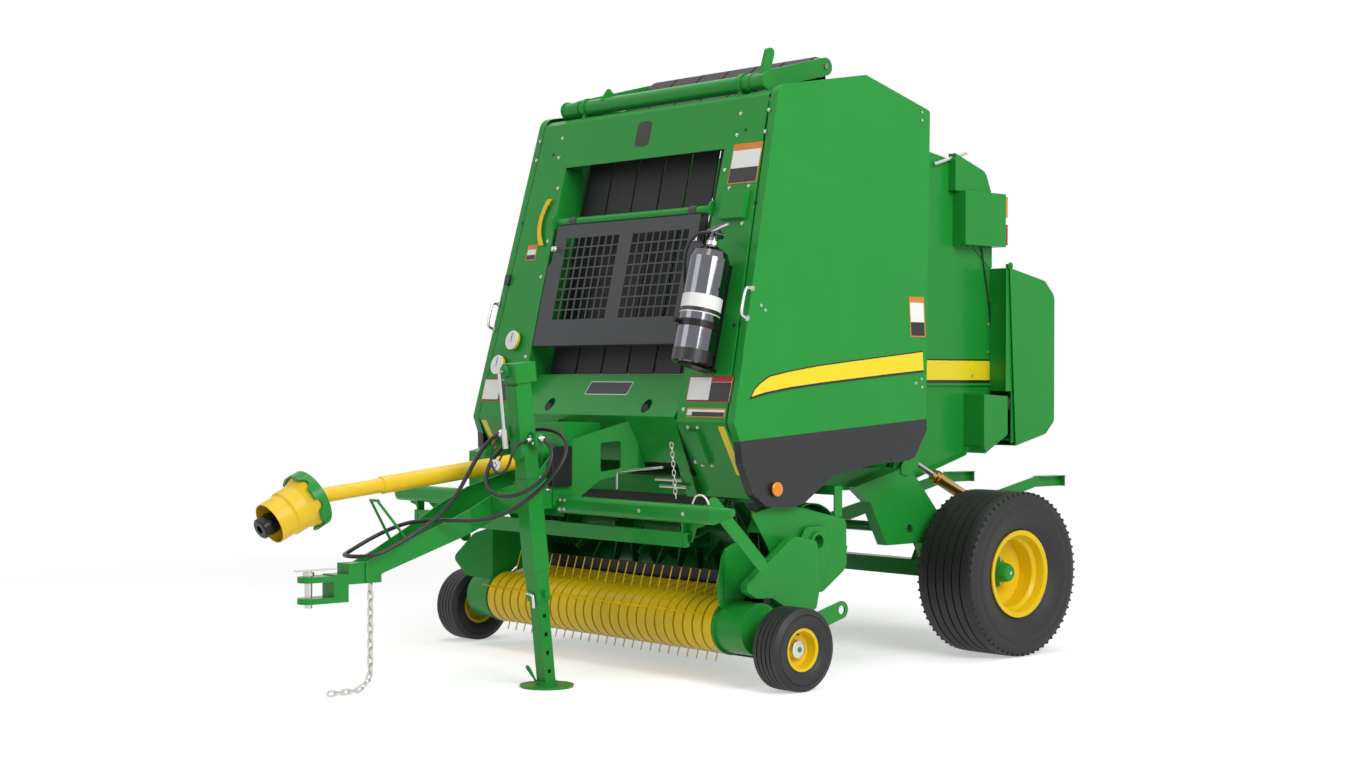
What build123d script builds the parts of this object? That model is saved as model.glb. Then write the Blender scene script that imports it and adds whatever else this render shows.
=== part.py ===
"""Fixed-chamber-front, belt-type round baler, towed, with a wide silage pickup.

Frame: +Z up, -Y is the direction of travel (the tongue points to -Y), +X is the machine's
left-hand side.  Lengths are in millimetres.  Everything below is laid out from the ground
under the main axle; put() shifts it all by AXLE_Y so that the origin is the middle of the
ground plan.
"""
from build123d import *
from math import atan2, cos, degrees, hypot, pi, radians, sin, sqrt, tan
import os

# ------------------------------------------------------------------ driving dimensions
AXLE_Y = 1094.66           # main axle behind the middle of the ground plan

SHEET = 4.0                # folded sheet of the front, gate and covers
PLATE = 6.0                # frame plate
FIT = 0.3                  # seat clearance of pieces that lie on each other
RUN = 6.0                  # clearance between moving pieces

# main wheels
TYRE_R = 394.0
TYRE_W = 345.0
WHEEL_X = 950.0            # middle of the tyre
RIM_R = 208.0              # outer edge of the rim flange
SPINDLE_R = 30.0
HUB_R = 74.0

# gauge wheels
GAUGE_R = 178.0
GAUGE_W = 150.0
GAUGE_X = 1149.5
GAUGE_Y = -1582.0
GAUGE_RIM_R = 92.0
GAUGE_PIN_R = 12.0

# front face: a lower corner and two slopes
CORNER_Y = -1734.0
CORNER_Z = 1132.0
FRONT_TOP_Y = -1386.0
FRONT_TOP_Z = 2600.0
CHIN_Y = -1557.0
CHIN_Z = 800.0
SEAM_LOW_X = 941.0         # outer face of the shields at the corner
SEAM_TOP_X = 852.0         # and at the top of the front

# front opening, measured up the front face
WINDOW_X = 570.0
WINDOW_TOP = 1252.0
SCREEN_TOP = 952.0
SCREEN_LOW = 352.0
SILL = 228.0
BAR_S = 975.0
BAR_R = 20.0

# chamber and gate
CHAMBER_X = 592.0          # inner face of the chamber side sheets
GATE_X = 612.0             # inner face of the gate side sheets
GATE_PIVOT = (-560.0, 2440.0)

# feed rotor, pickup reel and bands
ROTOR = (-1220.0, 600.0)
ROTOR_R = 205.0
ROTOR_TUBE_R = 80.0
ROTOR_SHAFT_R = 30.0
AUGER_R = 150.0
INTAKE_X = 905.0           # inner face of the intake side plates
REEL = (-1620.0, 282.0)
REEL_TIP_R = 196.0
REEL_BAR_R = 60.0
TINE_R = 2.75
BAND_AXIS = (-1620.0, 246.0)
BAND_R = 122.0
BAND_W = 52.0
BAND_PITCH = 62.5
BAND_COUNT = 26
BAND_T = 3.0
DRUM_R = 114.0
DRUM_X = 990.0

# driveline
SHAFT_REAR = (-2096.0, 957.3)
SHAFT_FRONT = (-3222.0, 828.0)
GUARD_R = 37.0
STEM_R = 24.0
CONE_REAR = (-3244.0, 818.0)
CONE_FRONT = (-3420.0, 731.0)

# jack
JACK_X = 373.0
JACK_FOOT_Y = -2295.0
JACK_LEAN = 6.6            # degrees, top forward
JACK_TUBE = 70.0
JACK_WALL = 5.5
JACK_LEG = 57.0
JACK_POST_LOW = 375.0
JACK_POST_TOP = 1310.0

# net-wrap hood
HOOD_X = 770.0
HOOD_HINGE = (318.0, 1888.0)
HOOD_PIN_R = 8.0

BELT_W = 178.0
BELT_PITCH = 190.0
BELT_COUNT = 6
BELT_T = 6.0

# ------------------------------------------------------------------ derived directions
_front_len = hypot(FRONT_TOP_Y - CORNER_Y, FRONT_TOP_Z - CORNER_Z)
FRONT_SIN = (FRONT_TOP_Y - CORNER_Y) / _front_len
FRONT_COS = (FRONT_TOP_Z - CORNER_Z) / _front_len
FRONT_LEN = _front_len
_chin_len = hypot(CHIN_Y - CORNER_Y, CHIN_Z - CORNER_Z)
CHIN_SIN = (CHIN_Y - CORNER_Y) / _chin_len
CHIN_COS = (CORNER_Z - CHIN_Z) / _chin_len
CHIN_LEN = _chin_len
TILT = atan2(SEAM_LOW_X - SEAM_TOP_X, FRONT_TOP_Z - CORNER_Z)

FRONT = Plane(origin=(0, CORNER_Y, CORNER_Z), x_dir=(1, 0, 0),
              z_dir=(0, -FRONT_COS, FRONT_SIN))
CHIN = Plane(origin=(0, CORNER_Y, CORNER_Z), x_dir=(1, 0, 0),
             z_dir=(0, -CHIN_COS, -CHIN_SIN))
SIDE = Plane(origin=(SEAM_LOW_X, 0, CORNER_Z), x_dir=(0, 1, 0),
             z_dir=(cos(TILT), 0, sin(TILT)))


def on_front(up, out):
    """(Y, Z) of a point up the front face and out from it."""
    return (CORNER_Y + up * FRONT_SIN - out * FRONT_COS,
            CORNER_Z + up * FRONT_COS + out * FRONT_SIN)


def on_chin(down, out):
    """(Y, Z) of a point down the chin below the corner and out from it."""
    return (CORNER_Y + down * CHIN_SIN - out * CHIN_COS,
            CORNER_Z - down * CHIN_COS - out * CHIN_SIN)


def front_corner(out):
    """(Y, Z) where the two front slopes meet when both are moved out by the same amount."""
    y = -FRONT_COS - CHIN_COS
    z = FRONT_SIN - CHIN_SIN
    scale = out / (1 + FRONT_COS * CHIN_COS - FRONT_SIN * CHIN_SIN)
    return (CORNER_Y + y * scale, CORNER_Z + z * scale)


# ------------------------------------------------------------------ shape helpers
def block(x, y, z):
    """Box from three (low, high) pairs."""
    size = [abs(b - a) for a, b in (x, y, z)]
    middle = [(a + b) / 2 for a, b in (x, y, z)]
    return Pos(*middle) * Box(*size)


def outline(rows):
    """Closed flat face; each row is (u, v) or (u, v, corner radius)."""
    corners = [(row[0], row[1]) for row in rows]
    face = make_face(Polyline(*corners, close=True))
    radii = {(row[0], row[1]): row[2] for row in rows if len(row) > 2}
    for radius in sorted(set(radii.values())):
        chosen = [v for v in face.vertices()
                  if any(r == radius and hypot(v.X - u, v.Y - w) < 0.01
                         for (u, w), r in radii.items())]
        face = fillet(chosen, radius)
    return face


def across(face, x0, x1):
    """Extrude a (Y, Z) face along X between two places."""
    low, high = min(x0, x1), max(x0, x1)
    return extrude(Plane.YZ.offset(low) * face, high - low)


def side_plate(rows, x0, x1):
    return across(outline(rows), x0, x1)


def strip(points, thickness):
    """Band to the left (or, if negative, the right) of an open run of points, mitred."""
    run = [Vector(u, v) for u, v in points]
    ways = [(b - a).normalized() for a, b in zip(run, run[1:])]
    lefts = [Vector(-way.Y, way.X) for way in ways]
    edge = []
    for i, point in enumerate(run):
        before = lefts[max(i - 1, 0)]
        after = lefts[min(i, len(lefts) - 1)]
        edge.append(point + (before + after) * (thickness / (1 + before.dot(after))))
    return make_face(Polyline(*run, *reversed(edge), close=True))


def bent_sheet(points, thickness, x0, x1):
    return across(strip(points, thickness), x0, x1)


def rod_x(y, z, radius, x0, x1):
    """Round bar along X."""
    return Pos((x0 + x1) / 2, y, z) * Rot(0, 90, 0) * Cylinder(radius, abs(x1 - x0))


def tube_x(y, z, outer, inner, x0, x1):
    return rod_x(y, z, outer, x0, x1) - rod_x(y, z, inner, x0, x1)


def rod(start, end, radius):
    """Round bar between two points."""
    way = Vector(*end) - Vector(*start)
    return Plane(origin=start, z_dir=way) * Cylinder(
        radius, way.length, align=(Align.CENTER, Align.CENTER, Align.MIN))


def link_bar(y0, z0, y1, z1, width, x0, x1):
    """Flat bar with round ends between two (Y, Z) places."""
    length = hypot(y1 - y0, z1 - z0)
    turn = degrees(atan2(z1 - z0, y1 - y0))
    face = Pos((y0 + y1) / 2, (z0 + z1) / 2) * Rot(0, 0, turn) * SlotCenterToCenter(length, width)
    return across(face, x0, x1)


def mirrored(shape):
    return mirror(shape, about=Plane.YZ)


def side_slab(out0, out1):
    """Slab parallel to the left shield, between two distances out from its outer face."""
    return SIDE * Pos(-700, 700, (out0 + out1) / 2) * Box(3000, 3400, out1 - out0)


def tangent(a, b, side, thick):
    """Straight belt run between two rollers (y, z, r, turn): its two end points."""
    ra = a[2] + thick / 2 - side * a[3] * thick / 2
    rb = b[2] + thick / 2 - side * b[3] * thick / 2
    dy, dz = b[0] - a[0], b[1] - a[1]
    dist = hypot(dy, dz)
    k = (b[3] * rb - a[3] * ra) / dist
    c = sqrt(1 - k * k)
    # unit normal to the left of the run
    ny = (-k * dy + c * dz) / dist
    nz = (-k * dz - c * dy) / dist
    return ((a[0] + a[3] * ra * ny, a[1] + a[3] * ra * nz),
            (b[0] + b[3] * rb * ny, b[1] + b[3] * rb * nz))


def belt_edge(rollers, side, thick):
    """One face of a belt led over rollers, as edges from the first to the last."""
    runs = [tangent(a, b, side, thick) for a, b in zip(rollers, rollers[1:])]
    edges = []
    for i, (start, end) in enumerate(runs):
        edges.append(Line(start, end))
        if i + 1 < len(runs):
            roller = rollers[i + 1]
            leave = runs[i + 1][0]
            middle = Vector(*end) + Vector(*leave) - Vector(roller[0], roller[1]) * 2
            if middle.length < 1e-6:
                continue
            radius = hypot(end[0] - roller[0], end[1] - roller[1])
            top = Vector(roller[0], roller[1]) + middle.normalized() * radius
            edges.append(ThreePointArc(end, (top.X, top.Y), leave))
    return edges, runs[0][0], runs[-1][1]


def belt_face(rollers, thick):
    left, left_start, left_end = belt_edge(rollers, 1, thick)
    right, right_start, right_end = belt_edge(rollers, -1, thick)
    edges = left + right + [Line(left_start, right_start), Line(left_end, right_end)]
    return make_face(Wire(edges))


def belts(rollers, thick):
    """The row of belts over a set of rollers, side by side."""
    face = belt_face(rollers, thick)
    first = -BELT_PITCH * (BELT_COUNT - 1) / 2
    row = [across(face, first + i * BELT_PITCH - BELT_W / 2, first + i * BELT_PITCH + BELT_W / 2)
           for i in range(BELT_COUNT)]
    return Compound(children=row)


parts = {}


def put(name, shape):
    """Keep a named piece, shifted to the model's origin."""
    parts[name] = Pos(0, AXLE_Y, 0) * shape


def both(name, left):
    put(name + "_left", left)
    put(name + "_right", mirrored(left))


# ------------------------------------------------------------------ chamber and front
def chamber_side():
    rows = [on_front(WINDOW_TOP + 210, 0), front_corner(0), on_chin(CHIN_LEN, 0),
            (-330, CHIN_Z), (-330, 1010), (-480, 1240), (-480, 2330),
            (GATE_PIVOT[0] + 60, GATE_PIVOT[1] + 60), (-860, 2640)]
    sheet = side_plate(rows, CHAMBER_X, CHAMBER_X + PLATE)
    return sheet


FLANGE = 48.0              # front flange of the shield, seen beside the post
POST_DEPTH = 106.0         # inner return of the post, back from its face
POST_RETURN = 60.0         # outer return


def front_post(left=True):
    """Folded front post: face, chin, inner return and outer return."""
    run = [on_chin(CHIN_LEN, 0), front_corner(0), on_front(WINDOW_TOP, 0)]
    skin = bent_sheet(run, SHEET, WINDOW_X, SEAM_LOW_X) - side_slab(-FLANGE - RUN, 200)
    inner = bent_sheet(run, -POST_DEPTH, WINDOW_X, WINDOW_X + SHEET)
    outer = bent_sheet(run, -POST_RETURN, WINDOW_X, SEAM_LOW_X) & side_slab(
        -FLANGE - RUN - SHEET, -FLANGE - RUN)
    post = skin + inner + outer
    if left:
        post += FRONT * Pos(713, 980, 14) * Box(150, 132, 28)
        post += CHIN * Pos(671, -120, 12) * Box(70, 160, 24)
    else:
        top, low = on_chin(150, 1), on_chin(352, 1)
        cover = [(-1803, 784), (-1803, 964), (-1668, 998), top, low]
        post += side_plate(cover, 745, 878)
    return post if left else mirrored(post)


def front_top_panel():
    run = [on_front(WINDOW_TOP, 0), on_front(FRONT_LEN - 26, 0), on_front(FRONT_LEN, -22),
           on_front(FRONT_LEN + 14, -110)]
    half = bent_sheet(run, SHEET, 0, SEAM_LOW_X) - side_slab(-FLANGE - RUN, 200)
    return half + mirrored(half)


def lower_front_panel():
    run = [(CHIN_Y - 26, CHIN_Z), (CHIN_Y - 46, CHIN_Z), LEDGE, on_front(SILL, -72)]
    panel = bent_sheet(run, SHEET, -WINDOW_X, WINDOW_X)
    panel -= block((-RECESS_X, RECESS_X), (CHIN_Y - 200, CHIN_Y + 50), (CHIN_Z - 20, RECESS_TOP))
    for x in (-350, 350):
        panel -= Pos(x, LEDGE[0], LEDGE[1] + 45) * Rot(90, 0, 0) * Cylinder(30, 200)
    return panel


LEDGE = (-1744.0, 1152.0)  # bend of the lower front panel
RECESS_X, RECESS_TOP = 500.0, 945.0    # opening in the panel above the feed rotor


def screen_door():
    """Perforated service door below the window bar, with two square-holed fields."""
    width = WINDOW_X - 12
    rows = [(-width + 22, SCREEN_TOP), (width - 60, SCREEN_TOP), (width - 60, 842),
            (width, 800), (width, SCREEN_LOW), (-width, SCREEN_LOW), (-width, 742),
            (-width + 22, 770)]
    sheet = extrude(outline(rows), SHEET)
    holes = []
    hole_w, hole_h, pitch_x, pitch_s = 41.0, 44.0, 50.5, 51.5
    for first_x in (-447.0, 43.0):
        for i in range(8):
            for j in range(8):
                holes.append(Pos(first_x + i * pitch_x + hole_w / 2,
                                 SCREEN_LOW + 128 + j * pitch_s + hole_h / 2, 0)
                             * Box(hole_w, hole_h, 30))
    sheet -= holes
    rim = [block((-width + 22, width - 60), (SCREEN_TOP - 6, SCREEN_TOP), (-16, 0)),
           block((-width, width), (SCREEN_LOW, SCREEN_LOW + 4), (-22, 0))]
    for piece in rim:
        sheet += piece
    for x in (-430, 430):
        sheet += Pos(x, BAR_S, -BAR_OUT) * Rot(0, 90, 0) * (
            Cylinder(BAR_R + 5, 44) - Cylinder(BAR_R + 0.5, 60))
        sheet += block((x - 22, x + 22), (SCREEN_TOP - 12, BAR_S - BAR_R - 1), (-8, 4)) 
    return FRONT * Pos(0, 0, 4) * sheet


BAR_OUT = 16.0


def window_bar():
    """Round bar under the window with a clamp ring at each end."""
    y, z = on_front(BAR_S, 4 - BAR_OUT)
    bar = rod_x(y, z, BAR_R, -WINDOW_X, WINDOW_X)
    for x in (-WINDOW_X + 6, WINDOW_X - 6):
        ring = tube_x(y, z, 42, BAR_R, x - 6, x + 6)
        bar += ring
    return bar


def size_scale():
    """Curved bale-size scale beside the window with its pointer."""
    middle_x, middle_s, radius = -489.0, 975.0, 184.0
    arc = (Cylinder(radius + 14, 3) - Cylinder(radius - 14, 8))
    wedge = Pos(-radius, 0, 0) * Box(2 * 60, 2 * 118, 10)
    plate = Pos(middle_x, middle_s, 18) * (arc & wedge)
    for s in (middle_s - 95, middle_s + 95):
        x = middle_x - sqrt(radius ** 2 - 95 ** 2)
        plate += Pos(x, s, (SHEET + FIT + 16.5) / 2) * Cylinder(6, 16.5 - SHEET - FIT)
    return FRONT * plate


def dials():
    """Two round pressure dials on the right-hand post, on short stems."""
    faces = []
    for x, s in ((-702, 378), (-785, 255)):
        faces.append(FRONT * Pos(x, s, SHEET + FIT) * (Pos(0, 0, 6) * Cylinder(14, 12)
                                                       + Pos(0, 0, 20) * Cylinder(46, 16)))
    return Compound(children=faces)


EXT_X, EXT_S, EXT_OUT, EXT_R = 735.0, 228.0, 118.0, 88.0


def extinguisher():
    profile = [(0, 0), (EXT_R - 8, 0), (EXT_R, 8), (EXT_R, 470), (EXT_R - 12, 500),
               (EXT_R - 45, 522), (24, 532), (22, 548), (22, 575), (0, 575)]
    tank = revolve(make_face(Plane.XZ * Polyline(*profile, close=True)), axis=Axis.Z)
    tank += Pos(0, 0, 585) * Box(40, 44, 40)
    tank += Pos(28, -8, 612) * Rot(0, -14, 0) * Box(120, 22, 8)
    tank += Pos(24, -8, 584) * Rot(0, 12, 0) * Box(100, 20, 7)
    tank += Pos(0, 34, 588) * Rot(90, 0, 0) * Cylinder(15, 26)
    return FRONT * Pos(EXT_X, EXT_S, EXT_OUT) * Rot(-90, 0, 0) * tank


def extinguisher_bracket():
    back = block((EXT_X - 28, EXT_X + 28), (EXT_S + 60, EXT_S + 470), (SHEET + FIT, EXT_OUT - EXT_R - 2))
    shelf = block((EXT_X - 45, EXT_X + 45), (EXT_S - 9, EXT_S - FIT), (SHEET + FIT, EXT_OUT + 40))
    rear = block((EXT_X - 28, EXT_X + 28), (EXT_S - 9, EXT_S + 80), (SHEET + FIT, 12))
    strap = Pos(EXT_X, EXT_S + 172, EXT_OUT) * Rot(90, 0, 0) * (
        Cylinder(EXT_R + 4, 30) - Cylinder(EXT_R + FIT, 40))
    knob = Pos(EXT_X - 24, EXT_S + 172, EXT_OUT + EXT_R + 14) * Cylinder(10, 28)
    return FRONT * (back + shelf + rear + strap + knob)


# ------------------------------------------------------------------ top: tension gear
TENSION = (-1317.0, 2655.0)
TENSION_R = 38.0
TENSION_X = 725.0
ARM_TIP = (-858.0, 2775.0)
TOP_ROLLER_R = 46.0


def tension_tube():
    tube = tube_x(*TENSION, TENSION_R, TENSION_R - 6, -TENSION_X, TENSION_X)
    for x in (-TENSION_X + 5, TENSION_X - 5):
        tube += rod_x(*TENSION, TENSION_R + 6, x - 5, x + 5)
    for x in (-560, 560):
        tube += tube_x(*TENSION, TENSION_R + 9, TENSION_R - 2, x - 11, x + 11)
        tube += block((x - 11, x + 11), (TENSION[0] - 30, TENSION[0] + 30),
                      (on_front(FRONT_LEN + 2, -60)[1] + 10, TENSION[1] - TENSION_R + 4))
    tube += side_plate([(TENSION[0] - 40, TENSION[1] + 22), (TENSION[0] + 10, TENSION[1] + 88, 14),
                        (TENSION[0] + 40, TENSION[1] + 60, 14), (TENSION[0] + 30, TENSION[1] + 15)],
                       -420, -412)
    return tube


def tension_arm():
    """Two box arms from the tube back to the top roller, with the spring lever."""
    arm = link_bar(*TENSION, *ARM_TIP, 84, CHAMBER_X + 6, CHAMBER_X + 34)
    arm -= rod_x(*TENSION, TENSION_R + FIT, 500, 700)
    arm -= rod_x(*ARM_TIP, 13, 500, 700)
    both_arms = [arm, mirrored(arm)]
    lever = link_bar(TENSION[0], TENSION[1], TENSION[0] + 40, TENSION[1] + 132, 46, 668, 690)
    lever -= rod_x(*TENSION, TENSION_R + FIT, 600, 720)
    return both_arms, lever


def top_roller():
    drum = rod_x(*ARM_TIP, TOP_ROLLER_R, -CHAMBER_X + 4, CHAMBER_X - 4)
    drum += rod_x(*ARM_TIP, 12.5, -CHAMBER_X - 40, CHAMBER_X + 40)
    return drum


# rollers of the front belt run: (y, z, radius, turn)
FRONT_ROLLERS = [(-690.0, 2520.0, 50.0, -1), (ARM_TIP[0], ARM_TIP[1], TOP_ROLLER_R, 1),
                 (-1210.0, 2470.0, 55.0, 1), (-1478.0, 1330.0, 55.0, 1)]
CHAMBER_ROLLERS = [(-1210.0, 2470.0, 55.0), (-1478.0, 1330.0, 55.0), (-690.0, 2520.0, 50.0),
                   (-960.0, 905.0, 100.0), (-620.0, 885.0, 80.0)]
GATE_ROLLERS = [(-330.0, 2360.0, 55.0, -1), (90.0, 2230.0, 55.0, -1), (250.0, 1900.0, 45.0, -1),
                (262.0, 1330.0, 45.0, -1), (60.0, 1020.0, 55.0, -1), (-250.0, 905.0, 60.0, -1)]


def roller_row(rows, half):
    """Rollers with journals into the side sheets."""
    drums = []
    for row in rows:
        y, z, radius = row[0], row[1], row[2]
        drums.append(rod_x(y, z, radius, -half + 8, half - 8) + rod_x(y, z, 20, -half, half))
    return Compound(children=drums)


# ------------------------------------------------------------------ shields
SHIELD_REAR_LOW = (-505.0, 1135.0)
SHIELD_REAR_TOP = (-385.0, 2589.0)
SHIELD_PEAK = (-818.0, 2717.0)
SHIELD_CHIN = (-1702.0, 1052.0)
SHIELD_DEPTH = 44.0


def on_side(y, z):
    """Coordinates on the shield's own plane of a point at height z."""
    return (y, (z - CORNER_Z) / cos(TILT))


def shield_outline():
    top_y, top_z = on_front(FRONT_LEN + 18, 0)
    rows = [(CORNER_Y, CORNER_Z), (top_y, top_z, 62), SHIELD_PEAK + (30,), SHIELD_REAR_TOP + (16,),
            SHIELD_REAR_LOW, SHIELD_CHIN]
    return outline([on_side(row[0], row[1]) + tuple(row[2:]) for row in rows])


def shield_panel():
    """Side shield: a folded pan, open inward, with its front return toward the post."""
    face = shield_outline()
    body = extrude(face, -SHIELD_DEPTH)
    inside = extrude(Plane.XY.offset(-3) * offset(face, -3), -SHIELD_DEPTH)
    pan = SIDE * (body - inside)
    return pan + shield_knuckles()


def shield_skirt():
    """Black moulded skirt under the shield, bulging at its front."""
    rows = [(SHIELD_CHIN[0], SHIELD_CHIN[1] - FIT), (-1694, 960), (-1640, 824, 60), (-1560, 770, 40),
            (-1400, 762), (-1330, 776, 60), (-1146, 889, 60), (-886, 931), (-640, 946),
            (-596, 960, 20), (-505, 1086), (-505, SHIELD_REAR_LOW[1] - FIT)]
    rows = [on_side(row[0], row[1]) + tuple(row[2:]) for row in rows]
    face = outline(rows)
    body = extrude(Plane.XY.offset(2) * face, -SHIELD_DEPTH)
    hollow = extrude(Plane.XY.offset(-2) * offset(face, -4), -SHIELD_DEPTH)
    recess = [on_side(*row) for row in ((-1290, 868), (-1150, 906), (-760, 962), (-760, 940),
                                        (-1140, 884))]
    skirt = body - hollow
    skirt -= extrude(Plane.XY.offset(0.5) * outline(recess), 4)
    return SIDE * skirt


HINGE_PIN_R = 8.0
HINGE_DEPTH = 52.0
HINGE_PLACES = (0.11, 0.72)
KNUCKLE = 60.0


def hinge_run(share, before, after):
    """Two points on the shield's hinge line, either side of a place along it."""
    low, high = on_side(*SHIELD_REAR_LOW), on_side(*SHIELD_REAR_TOP)
    start = Vector(low[0] - 1.5, low[1], -HINGE_DEPTH)
    way = Vector(high[0] - low[0], high[1] - low[1], 0)
    middle = start + way * share
    unit = way.normalized()
    return tuple(middle - unit * before), tuple(middle + unit * after)


def shield_knuckles():
    row = None
    for share in HINGE_PLACES:
        ends = hinge_run(share, KNUCKLE / 2, KNUCKLE / 2)
        bore = hinge_run(share, KNUCKLE, KNUCKLE)
        knuckle = rod(*ends, HINGE_PIN_R + 6) - rod(*bore, HINGE_PIN_R + 0.08)
        row = knuckle if row is None else row + knuckle
    return SIDE * row


def shield_hinges():
    """Brackets that carry a shield: from the chamber sheet to the hinge pins."""
    row = None
    for share in HINGE_PLACES:
        pin = SIDE * rod(*hinge_run(share, KNUCKLE / 2 + 16, KNUCKLE / 2 + 16), HINGE_PIN_R)
        middle = pin.center()
        bracket = pin
        for z in (middle.Z - KNUCKLE / 2 - 12, middle.Z + KNUCKLE / 2 + 12):
            bracket += block((CHAMBER_X + PLATE, middle.X + 4), (-600, min(middle.Y + 3, -436)),
                             (z - 3, z + 3))
            bracket += block((GATE_X + PLATE + 6, middle.X + 4), (-600, middle.Y + 3), (z - 3, z + 3))
        bracket += block((CHAMBER_X + PLATE, CHAMBER_X + PLATE + 6), (-600, -520),
                         (middle.Z - 70, middle.Z + 70))
        row = bracket if row is None else row + bracket
    return row


# ------------------------------------------------------------------ gate
def gate_side():
    rows = [(-400, 815), (-294, 828), (119, 944, 30), (352, 1262, 40), (352, 1313), (346, 1990),
            (300, 2330, 60), (40, 2408), (-380, 2480), (-500, 2510), (GATE_PIVOT[0] - 60, 2480, 40),
            (GATE_PIVOT[0] - 60, 2390, 40), (-430, 2330, 40), (-400, 1240)]
    sheet = side_plate(rows, GATE_X, GATE_X + PLATE)
    lower = [(-400, 815), (-294, 828), (119, 944), (300, 1200)]
    sheet += bent_sheet(lower, 5, GATE_X + PLATE, GATE_X + PLATE + 34)
    sheet += block((GATE_X + PLATE, GATE_X + PLATE + 14), (-380, 336), (1290, 1302))
    sheet -= rod_x(*GATE_PIVOT, PIVOT_R + 0.5, 500, 700)
    return sheet


PIVOT_R = 30.0


def gate_pivot():
    """Pivot stub on the chamber side, through the gate's ear, with its outer washer."""
    stub = rod_x(*GATE_PIVOT, PIVOT_R, CHAMBER_X + PLATE, GATE_X + PLATE + 16)
    stub += rod_x(*GATE_PIVOT, PIVOT_R + 16, GATE_X + PLATE + 6, GATE_X + PLATE + 16)
    stub += rod_x(*GATE_PIVOT, PIVOT_R + 16, CHAMBER_X + PLATE, GATE_X - RUN)
    return stub


def gate_cross():
    """Cross tubes that tie the gate's sides together."""
    bars = []
    for y, z, size in ((-150, 2412, 60), (300, 2060, 60)):
        bars.append(block((-GATE_X, GATE_X), (y - size / 2, y + size / 2), (z - size / 2, z + size / 2)))
    return bars[0] + bars[1]


def lamp_box():
    """Lamp housing on the gate's side with its bracket, and the stepped corner cover above."""
    x0, x1 = GATE_X + PLATE, GATE_X + PLATE + 84
    shell = block((x0, x1), (52, 362), (1986, 2252))
    shell -= block((x0 - 1, x1 - 3), (55, 370), (1989, 2249))
    shell += block((x0, x1), (354, 358), (1986, 2252))
    cover = side_plate([(20, 2252), (20, 2436), (250, 2358, 60), (296, 2252)], x0, x0 + 46)
    cover -= side_plate([(23, 2240), (23, 2432), (248, 2354, 57), (292, 2240)], x0 - 1, x0 + 43)
    brace = side_plate([(200, 1986), (350, 1986), (350, 1884), (330, 1884)], x0, x0 + 4)
    return shell + cover + brace


def lamps(z0, z1):
    x0 = GATE_X + PLATE + 12
    return block((x0, x0 + 66), (358 + FIT, 384), (z0, z1))


def chain_box():
    x0, x1 = GATE_X + PLATE + 14 + FIT, GATE_X + PLATE + 132
    x0 = GATE_X + PLATE
    shell = side_plate([(140, 996), (152, 956), (322, 1046), (322, 1238), (140, 1248)], x0, x1)
    shell -= side_plate([(144, 998), (156, 962), (318, 1049), (318, 1234), (144, 1244)], x0 - 1, x1 - 3)
    return shell


def hood_bracket():
    """Upright channel on the gate's rear edge that carries the net-wrap gear."""
    x0, x1 = GATE_X + PLATE, HOOD_X - 12
    plate = block((x0, x1), (338, 342), (1262, 1880))
    plate += block((x1 - 4, x1), (298, 338), (1262, HOOD_HINGE[1] + 10))
    return plate + rod_x(*HOOD_HINGE, HOOD_PIN_R, x1 - 4, HOOD_X + 6)


def net_tray():
    """Floor and feed rollers of the net-wrap box, behind the gate's belts."""
    floor = bent_sheet([(342, 1016), (580, 1090), (610, 1150)], 4, -HOOD_X + 20, HOOD_X - 20)
    ends = side_plate([(342, 1000), (580, 1076), (630, 1150), (600, 1700), (342, 1860)],
                      HOOD_X - 20, HOOD_X - 14)
    roll = rod_x(480, 1560, 120, -640, 640)
    core = rod_x(480, 1560, 20, -HOOD_X + 20, HOOD_X - 20)
    feed = rod_x(420, 1200, 35, -HOOD_X + 20, HOOD_X - 20)
    return floor, ends, roll + core, feed


def net_hood():
    """Hinged cover over the net-wrap box: end panels and a wrapped rear sheet."""
    rows = [(312, 1878), (362, 990), (600, 1046, 50), (668, 1110, 30), (668, 1748, 60), (590, 1822, 30)]
    inner = [(300, 1872), (300, 980), (362, 996), (598, 1052, 47), (664, 1113, 27), (664, 1746, 57),
             (588, 1816, 27)]
    body = side_plate(rows, -HOOD_X, HOOD_X)
    inside = side_plate(inner, -HOOD_X + SHEET, HOOD_X - SHEET)
    mouth = block((-HOOD_X + SHEET, HOOD_X - SHEET), (250, 366), (1750, 1950))
    hood = body - inside - mouth
    for side in (-1, 1):
        hood += rod_x(*HOOD_HINGE, HOOD_PIN_R + 10, side * (HOOD_X - SHEET), side * HOOD_X)
    return hood - rod_x(*HOOD_HINGE, HOOD_PIN_R + 0.08, -HOOD_X - 5, HOOD_X + 5)


# ------------------------------------------------------------------ running gear
AXLE_Z = TYRE_R
AXLE_BEAM = 80.0
ARM_IN, ARM_OUT = 658.0, 720.0


def axle_arm():
    """Slanted box arm from the frame rail down to the axle."""
    rows = [(-747, 818), (-377, 909), (-60, 560, 40), (66, 500, 40), (66, 330, 30), (-150, 330, 40),
            (-283, 535), (-530, 534), (-649, 745)]
    arm = side_plate(rows, ARM_IN, ARM_OUT)
    face = outline(rows)
    arm -= across(offset(face, -6), ARM_IN - 1, ARM_OUT - 7)
    arm += side_plate([(-70, 480), (60, 480), (60, 336), (-70, 336)], ARM_IN, ARM_IN + 6)
    arm -= rod_x(-369, 607, 22, 600, 800)
    return arm


def axle_beam():
    return block((-ARM_IN, ARM_IN), (-AXLE_BEAM / 2, AXLE_BEAM / 2), (AXLE_Z - 52, AXLE_Z + 28))


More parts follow.
